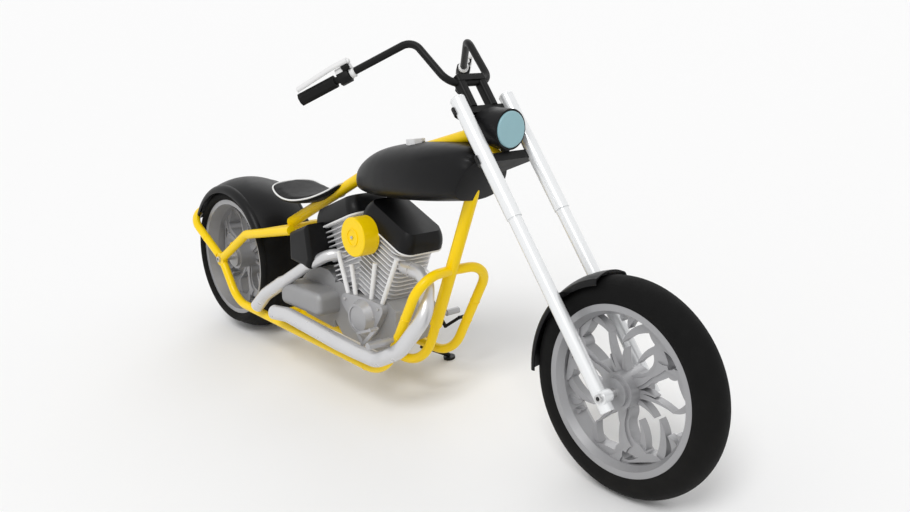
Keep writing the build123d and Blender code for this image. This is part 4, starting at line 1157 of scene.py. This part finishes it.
@dataclass
class Headlamp:
    """The deep black bowl of the headlamp, cut back along the steering neck, and its bracket."""

    paint: Paintwork
    fork: ForkFrame = ForkFrame()
    radius: float = 66.0
    face_x: float = 1687.0
    back_x: float = 1556.0
    centre_z: float = 1056.0
    rim: float = 6.6
    lens_depth: float = 14.0
    neck_cut: tuple[float, float] = (100.0, 39.0)
    clamp_cut: tuple[float, float] = (56.5, 66.0)
    bracket_size: tuple[float, float, float] = (24.0, 24.0, 50.0)
    bracket_place: tuple[float, float] = (183, 58)
    bowl_edge: float = 0.002
    bracket_edge: float = 0.004

    def build(self) -> None:
        """Builds the bowl and its bracket and hides the plain solid."""
        Bench.clear()
        depth = (self.face_x - self.back_x) * MM
        bpy.ops.mesh.primitive_cylinder_add(vertices=64, radius=self.radius * MM, depth=depth)
        bowl = bpy.context.object
        Bench.step_face(bowl, 1, self.rim, -self.lens_depth)
        middle = STANCE.place((self.face_x + self.back_x) / 2, 0, self.centre_z)
        bowl.data.transform(Bench.facing(STANCE.aim(1, 0, 0), middle))
        for cut, inward in ((self.neck_cut, self.fork.ahead()), (self.clamp_cut, self.fork.down())):
            outward = STANCE.aim(*(-part for part in inward))
            Bench.cut_away(STANCE.place(*self.fork.point(*cut, 0)), outward)
        Bench.soften(bowl, self.bowl_edge, 3)
        bpy.ops.mesh.primitive_cube_add(size=1.0)
        bracket = bpy.context.object
        bracket.data.transform(Matrix.Diagonal((*(side * MM for side in self.bracket_size), 1.0)))
        place = STANCE.place(*self.fork.point(*self.bracket_place, 0))
        bracket.data.transform(Bench.facing(STANCE.aim(*self.fork.down()), place))
        Bench.soften(bracket, self.bracket_edge, 3)
        piece = Bench.join([bowl, bracket], "lamp_bowl")
        self.paint.fit(piece, self.paint.body_black, Body.STEERING, "body_paint")
        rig.replaces(piece, "headlamp_shell")
        LOG.info("lamp bowl: %d faces", len(piece.data.polygons))


@dataclass
class ForkRings:
    """The thin rings at the top of each fork leg and where its two tubes meet."""

    paint: Paintwork
    fork: ForkFrame = ForkFrame()
    half_spread: float = 106.5
    thickness: float = 1.3
    rings: tuple[tuple[float, float], ...] = ((9.0, 24.4), (438.0, 24.2), (441.5, 22.0))

    def build(self) -> None:
        """Builds the rings of both legs."""
        legs = self.fork.leg_offset
        seams = [
            Seam(self.fork.point(down, legs, side * self.half_spread), self.fork.down(), radius)
            for side in (-1, 1)
            for down, radius in self.rings
        ]
        SeamRings(self.paint).set_out(
            "fork_rings", seams, self.thickness, Body.STEERING, self.paint.fork_white, "fork_white"
        )


@dataclass(frozen=True)
class Turning:
    """One turned part of a hand control: its size, its place along and off the bar, and its flats."""

    radius: float
    depth: float
    past_grip: float
    lift: float
    sides: int


@dataclass
class HandControl:
    """One bar end's control: an eight-sided housing, the lever's bracket, a ring and a small cap."""

    paint: Paintwork
    end: tuple[float, float, float] = (1040.0, 360.0, 1130.0)
    bend: tuple[float, float, float] = (1343.0, 120.0, 1327.0)
    grip: float = 140.0
    above: tuple[float, float] = (0.633, 0.771)
    inset_share: float = 0.22
    face_step: float = 1.5
    edge: float = 0.0012
    housing: tuple[Turning, ...] = (Turning(27.0, 40.0, 32.0, 0.0, 8), Turning(15.0, 26.0, 54.0, 31.0, 8))
    bracket: tuple[Turning, ...] = (
        Turning(19.0, 15.0, 63.0, 0.0, 32), Turning(11.0, 58.0, 42.0, 26.0, 6),
        Turning(8.0, 20.0, 66.0, 44.0, 24),
    )

    def lathe(self, part: Turning, side: int) -> bpy.types.Object:
        """Models one turned part round or beside the bar, with an inset face at each end.

        Args:
            part: The part.
            side: -1 for the right bar end and 1 for the left.

        Returns:
            The turned part.
        """
        Bench.clear()
        bpy.ops.mesh.primitive_cylinder_add(
            vertices=part.sides, radius=part.radius * MM, depth=part.depth * MM
        )
        piece = bpy.context.object
        for look in (1, -1):
            Bench.step_face(piece, look, part.radius * self.inset_share, look * self.face_step)
        end = Vector((self.end[0], side * self.end[1], self.end[2]))
        along = (Vector((self.bend[0], side * self.bend[1], self.bend[2])) - end).normalized()
        above = Vector((0, side * self.above[0], self.above[1]))
        place = end + along * (self.grip + part.past_grip) + above * part.lift
        piece.data.transform(Bench.facing(STANCE.aim(*along), STANCE.place(*place)))
        Bench.soften(piece, self.edge)
        return piece

    def build(self) -> None:
        """Builds both bar ends' controls and hides the plain blocks."""
        for name, side in (("right", -1), ("left", 1)):
            dark = Bench.join([self.lathe(part, side) for part in self.housing], f"control_housing_{name}")
            self.paint.fit(dark, self.paint.bar_black, Body.STEERING, "black_metal")
            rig.replaces(dark, f"perch_{name}")
            bright = Bench.join([self.lathe(part, side) for part in self.bracket], f"lever_bracket_{name}")
            self.paint.fit(bright, self.paint.part_white, Body.STEERING, "white_metal")
        LOG.info("hand controls on both bar ends")


@dataclass(frozen=True)
class PhotoCamera:
    """The camera that took the photograph, on the upright machine."""

    eye: tuple[float, float, float] = (3856.5, -2128.0, 1404.0)
    yaw: float = math.radians(138.8877)
    pitch: float = math.radians(-14.0908)
    lens: float = 37.796

    def create(self) -> None:
        """Makes the camera and leans it with the machine."""
        forward = Vector((
            math.cos(self.yaw) * math.cos(self.pitch), math.sin(self.yaw) * math.cos(self.pitch),
            math.sin(self.pitch),
        ))
        right = forward.cross(Vector((0, 0, 1))).normalized()
        up = right.cross(forward)
        turn = Matrix((right, up, -forward)).transposed().to_4x4()
        data = bpy.data.cameras.new("photo_camera")
        data.lens = self.lens
        data.sensor_width = 36.0
        data.clip_end = 100.0
        camera = bpy.data.objects.new("photo_camera", data)
        bpy.context.collection.objects.link(camera)
        camera.matrix_world = STANCE.matrix() @ Matrix.Translation(Vector(self.eye) * MM) @ turn
        bpy.context.scene.camera = camera


@dataclass
class Studio:
    """The pale floor, the even surrounding light and two soft lamps."""

    floor_shade: float = 0.93
    floor_size: float = 120.0
    sky_strength: float = 0.62
    seen_strength: float = 0.97
    lamp_table: tuple[tuple[str, float, float, tuple[float, float, float]], ...] = (
        ("key", 1.25, 25.0, (-0.35, 0.55, -1.0)),
        ("fill", 0.45, 40.0, (0.6, -0.8, -0.7)),
    )

    def floor(self) -> None:
        """Lays a wide pale floor under the tyres."""
        Bench.clear()
        bpy.ops.mesh.primitive_plane_add(size=self.floor_size, location=(0, 0, 0))
        floor = Bench.settle(bpy.context.object, "studio_floor")
        paint = bpy.data.materials.new("studio_floor")
        paint.use_nodes = True
        feed(paint.node_tree.nodes["Principled BSDF"], {
            "Base Color": (self.floor_shade,) * 3 + (1.0,), "Roughness": 0.9, "Specular IOR Level": 0.1,
        })
        floor.data.materials.append(paint)
        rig.stage(floor)

    def sky(self) -> None:
        """Sets an even white surrounding that the camera and reflections see as white."""
        world = bpy.data.worlds.new("studio")
        bpy.context.scene.world = world
        world.use_nodes = True
        tree = world.node_tree
        light = tree.nodes["Background"]
        feed(light, {"Color": (1.0, 1.0, 1.0, 1.0), "Strength": self.sky_strength})
        seen = tree.nodes.new("ShaderNodeBackground")
        feed(seen, {"Color": (1.0, 1.0, 1.0, 1.0), "Strength": self.seen_strength})
        rays = tree.nodes.new("ShaderNodeLightPath")
        share = rays.outputs["Is Camera Ray"]
        for ray in ("Is Transmission Ray", "Is Glossy Ray"):
            either = tree.nodes.new("ShaderNodeMath")
            either.operation = "MAXIMUM"
            tree.links.new(share, either.inputs[0])
            tree.links.new(rays.outputs[ray], either.inputs[1])
            share = either.outputs[0]
        mix = tree.nodes.new("ShaderNodeMixShader")
        tree.links.new(share, mix.inputs[0])
        tree.links.new(light.outputs[0], mix.inputs[1])
        tree.links.new(seen.outputs[0], mix.inputs[2])
        tree.links.new(mix.outputs[0], tree.nodes["World Output"].inputs["Surface"])

    def lamps(self) -> None:
        """Hangs a key lamp from the camera's side and a weaker one from behind."""
        for name, strength, angle, towards in self.lamp_table:
            lamp = bpy.data.lights.new(name, "SUN")
            lamp.energy = strength
            lamp.angle = math.radians(angle)
            holder = bpy.data.objects.new(name, lamp)
            bpy.context.collection.objects.link(holder)
            holder.rotation_euler = Vector(towards).to_track_quat("-Z", "Y").to_euler()

    def build(self) -> None:
        """Sets up the floor, the surrounding light and the lamps."""
        self.floor()
        self.sky()
        self.lamps()
        bpy.context.scene.view_settings.view_transform = "Standard"


@dataclass
class FrameSeams:
    """The weld rings where the frame's lengths meet."""

    paint: Paintwork
    rail: float = 163.0
    thickness: float = 1.6
    joints: tuple[tuple[float, float, float, float, float], ...] = (
        (1344, 380, -0.466, -0.885, 18.0),
        (1302, 300, -0.466, -0.885, 18.0),
        (1100, 137, 1.0, 0.0, 18.0),
        (-137, 410, -0.885, 0.466, 18.0),
        (120, 419, 0.83, 0.56, 19.0),
    )

    def build(self) -> None:
        """Builds the rings of both sides."""
        seams = [
            Seam((x, side * self.rail, z), (along_x, 0.0, along_z), radius)
            for side in (-1, 1)
            for x, z, along_x, along_z, radius in self.joints
        ]
        SeamRings(self.paint).set_out(
            "frame_seams", seams, self.thickness, Body.CHASSIS, self.paint.frame_yellow, "frame_paint"
        )


@dataclass
class EngineTrim:
    """The bolts on the engine's covers, the air cleaner's screw and the covers' gaskets."""

    paint: Paintwork
    cam_centre: tuple[float, float] = (1030, 300)
    cam_bolt_radius: float = 66
    cam_face: float = -122
    crank: tuple[float, float, float] = (965.0, 0.0, 260.0)
    cylinder_lean: float = 22.5
    gasket_reach: float = 394.0
    gasket_size: tuple[float, float] = (299.0, 201.0)
    gasket_height: float = 7.0
    gasket_corner: float = 0.045
    gasket_edge: float = 0.001

    def build(self) -> None:
        """Builds the engine's fasteners."""
        fasteners = Fasteners(self.paint)
        x, z = self.cam_centre
        spots = [
            (x + self.cam_bolt_radius * math.cos(turn), z + self.cam_bolt_radius * math.sin(turn))
            for turn in map(math.radians, (250, 290, 330, 10))
        ] + [(915, 348), (1126, 354)]
        fasteners.set_out("cam_cover_bolts", [(spot[0], self.cam_face, spot[1]) for spot in spots])
        fasteners.set_out("air_cleaner_screw", [(1036, -166, 617)])
        lean = math.radians(self.cylinder_lean)
        self.gasket("front_cover_gasket", lean)
        self.gasket("rear_cover_gasket", -lean)

    def gasket(self, name: str, lean: float) -> None:
        """Lays the bright plate between a cylinder and its rocker cover.

        Args:
            name: The plate's name.
            lean: How far the cylinder leans, in radians.
        """
        Bench.clear()
        bpy.ops.mesh.primitive_plane_add(size=1.0)
        plate = bpy.context.object
        plate.data.transform(Matrix.Diagonal((*(side * MM for side in self.gasket_size), 1.0, 1.0)))
        bpy.ops.object.mode_set(mode="EDIT")
        bpy.ops.mesh.select_all(action="SELECT")
        bpy.ops.mesh.bevel(
            offset=self.gasket_corner, offset_type="OFFSET", segments=8, affect="VERTICES"
        )
        bpy.ops.mesh.extrude_region_move(
            TRANSFORM_OT_translate={"value": (0, 0, self.gasket_height * MM)}
        )
        Bench.face_outwards()
        Bench.soften(plate, self.gasket_edge)
        along = Vector((math.sin(lean), 0.0, math.cos(lean)))
        seat = Vector(self.crank) + along * self.gasket_reach
        turn = Matrix.Rotation(lean, 4, "Y")
        plate.data.transform(STANCE.matrix() @ Matrix.Translation(seat * MM) @ turn)
        Bench.settle(plate, name)
        self.paint.fit(plate, self.paint.part_white, Body.CHASSIS, "white_metal")


@dataclass(frozen=True)
class SizeNote:
    """The object's box before and after this script's pieces, written to a file."""

    before: object
    after: object
    path: str = "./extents.json"

    @staticmethod
    def numbers(box: object) -> list[list[float]]:
        """Turns a box into plain lists of numbers.

        Args:
            box: The box's two corners.

        Returns:
            Each corner as a list of three numbers.
        """
        return [[round(float(part), 5) for part in corner] for corner in box]

    def write(self) -> None:
        """Writes both boxes to the note's file."""
        note = {"before": self.numbers(self.before), "after": self.numbers(self.after)}
        with open(self.path, "w", encoding="utf-8") as target:
            json.dump(note, target)
        LOG.info("box before %s, after %s", note["before"], note["after"])


def main() -> None:
    """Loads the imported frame, dresses it, adds the pieces of each sub-assembly and finishes."""
    logging.basicConfig(level=logging.INFO, format="%(name)s: %(message)s")
    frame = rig.load()
    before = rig.bounds()
    Bench.clear()
    PhotoCamera().create()
    Studio().build()
    paint = Paintwork(Effects())
    paint.dress(frame["nodes"])
    FuelTank(paint).build()
    Headlamp(paint).build()
    ForkRings(paint).build()
    HandControl(paint).build()
    Saddle(paint).build()
    FrameSeams(paint).build()
    EngineTrim(paint).build()
    SizeNote(before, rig.bounds()).write()


if __name__ == "__main__":
    main()
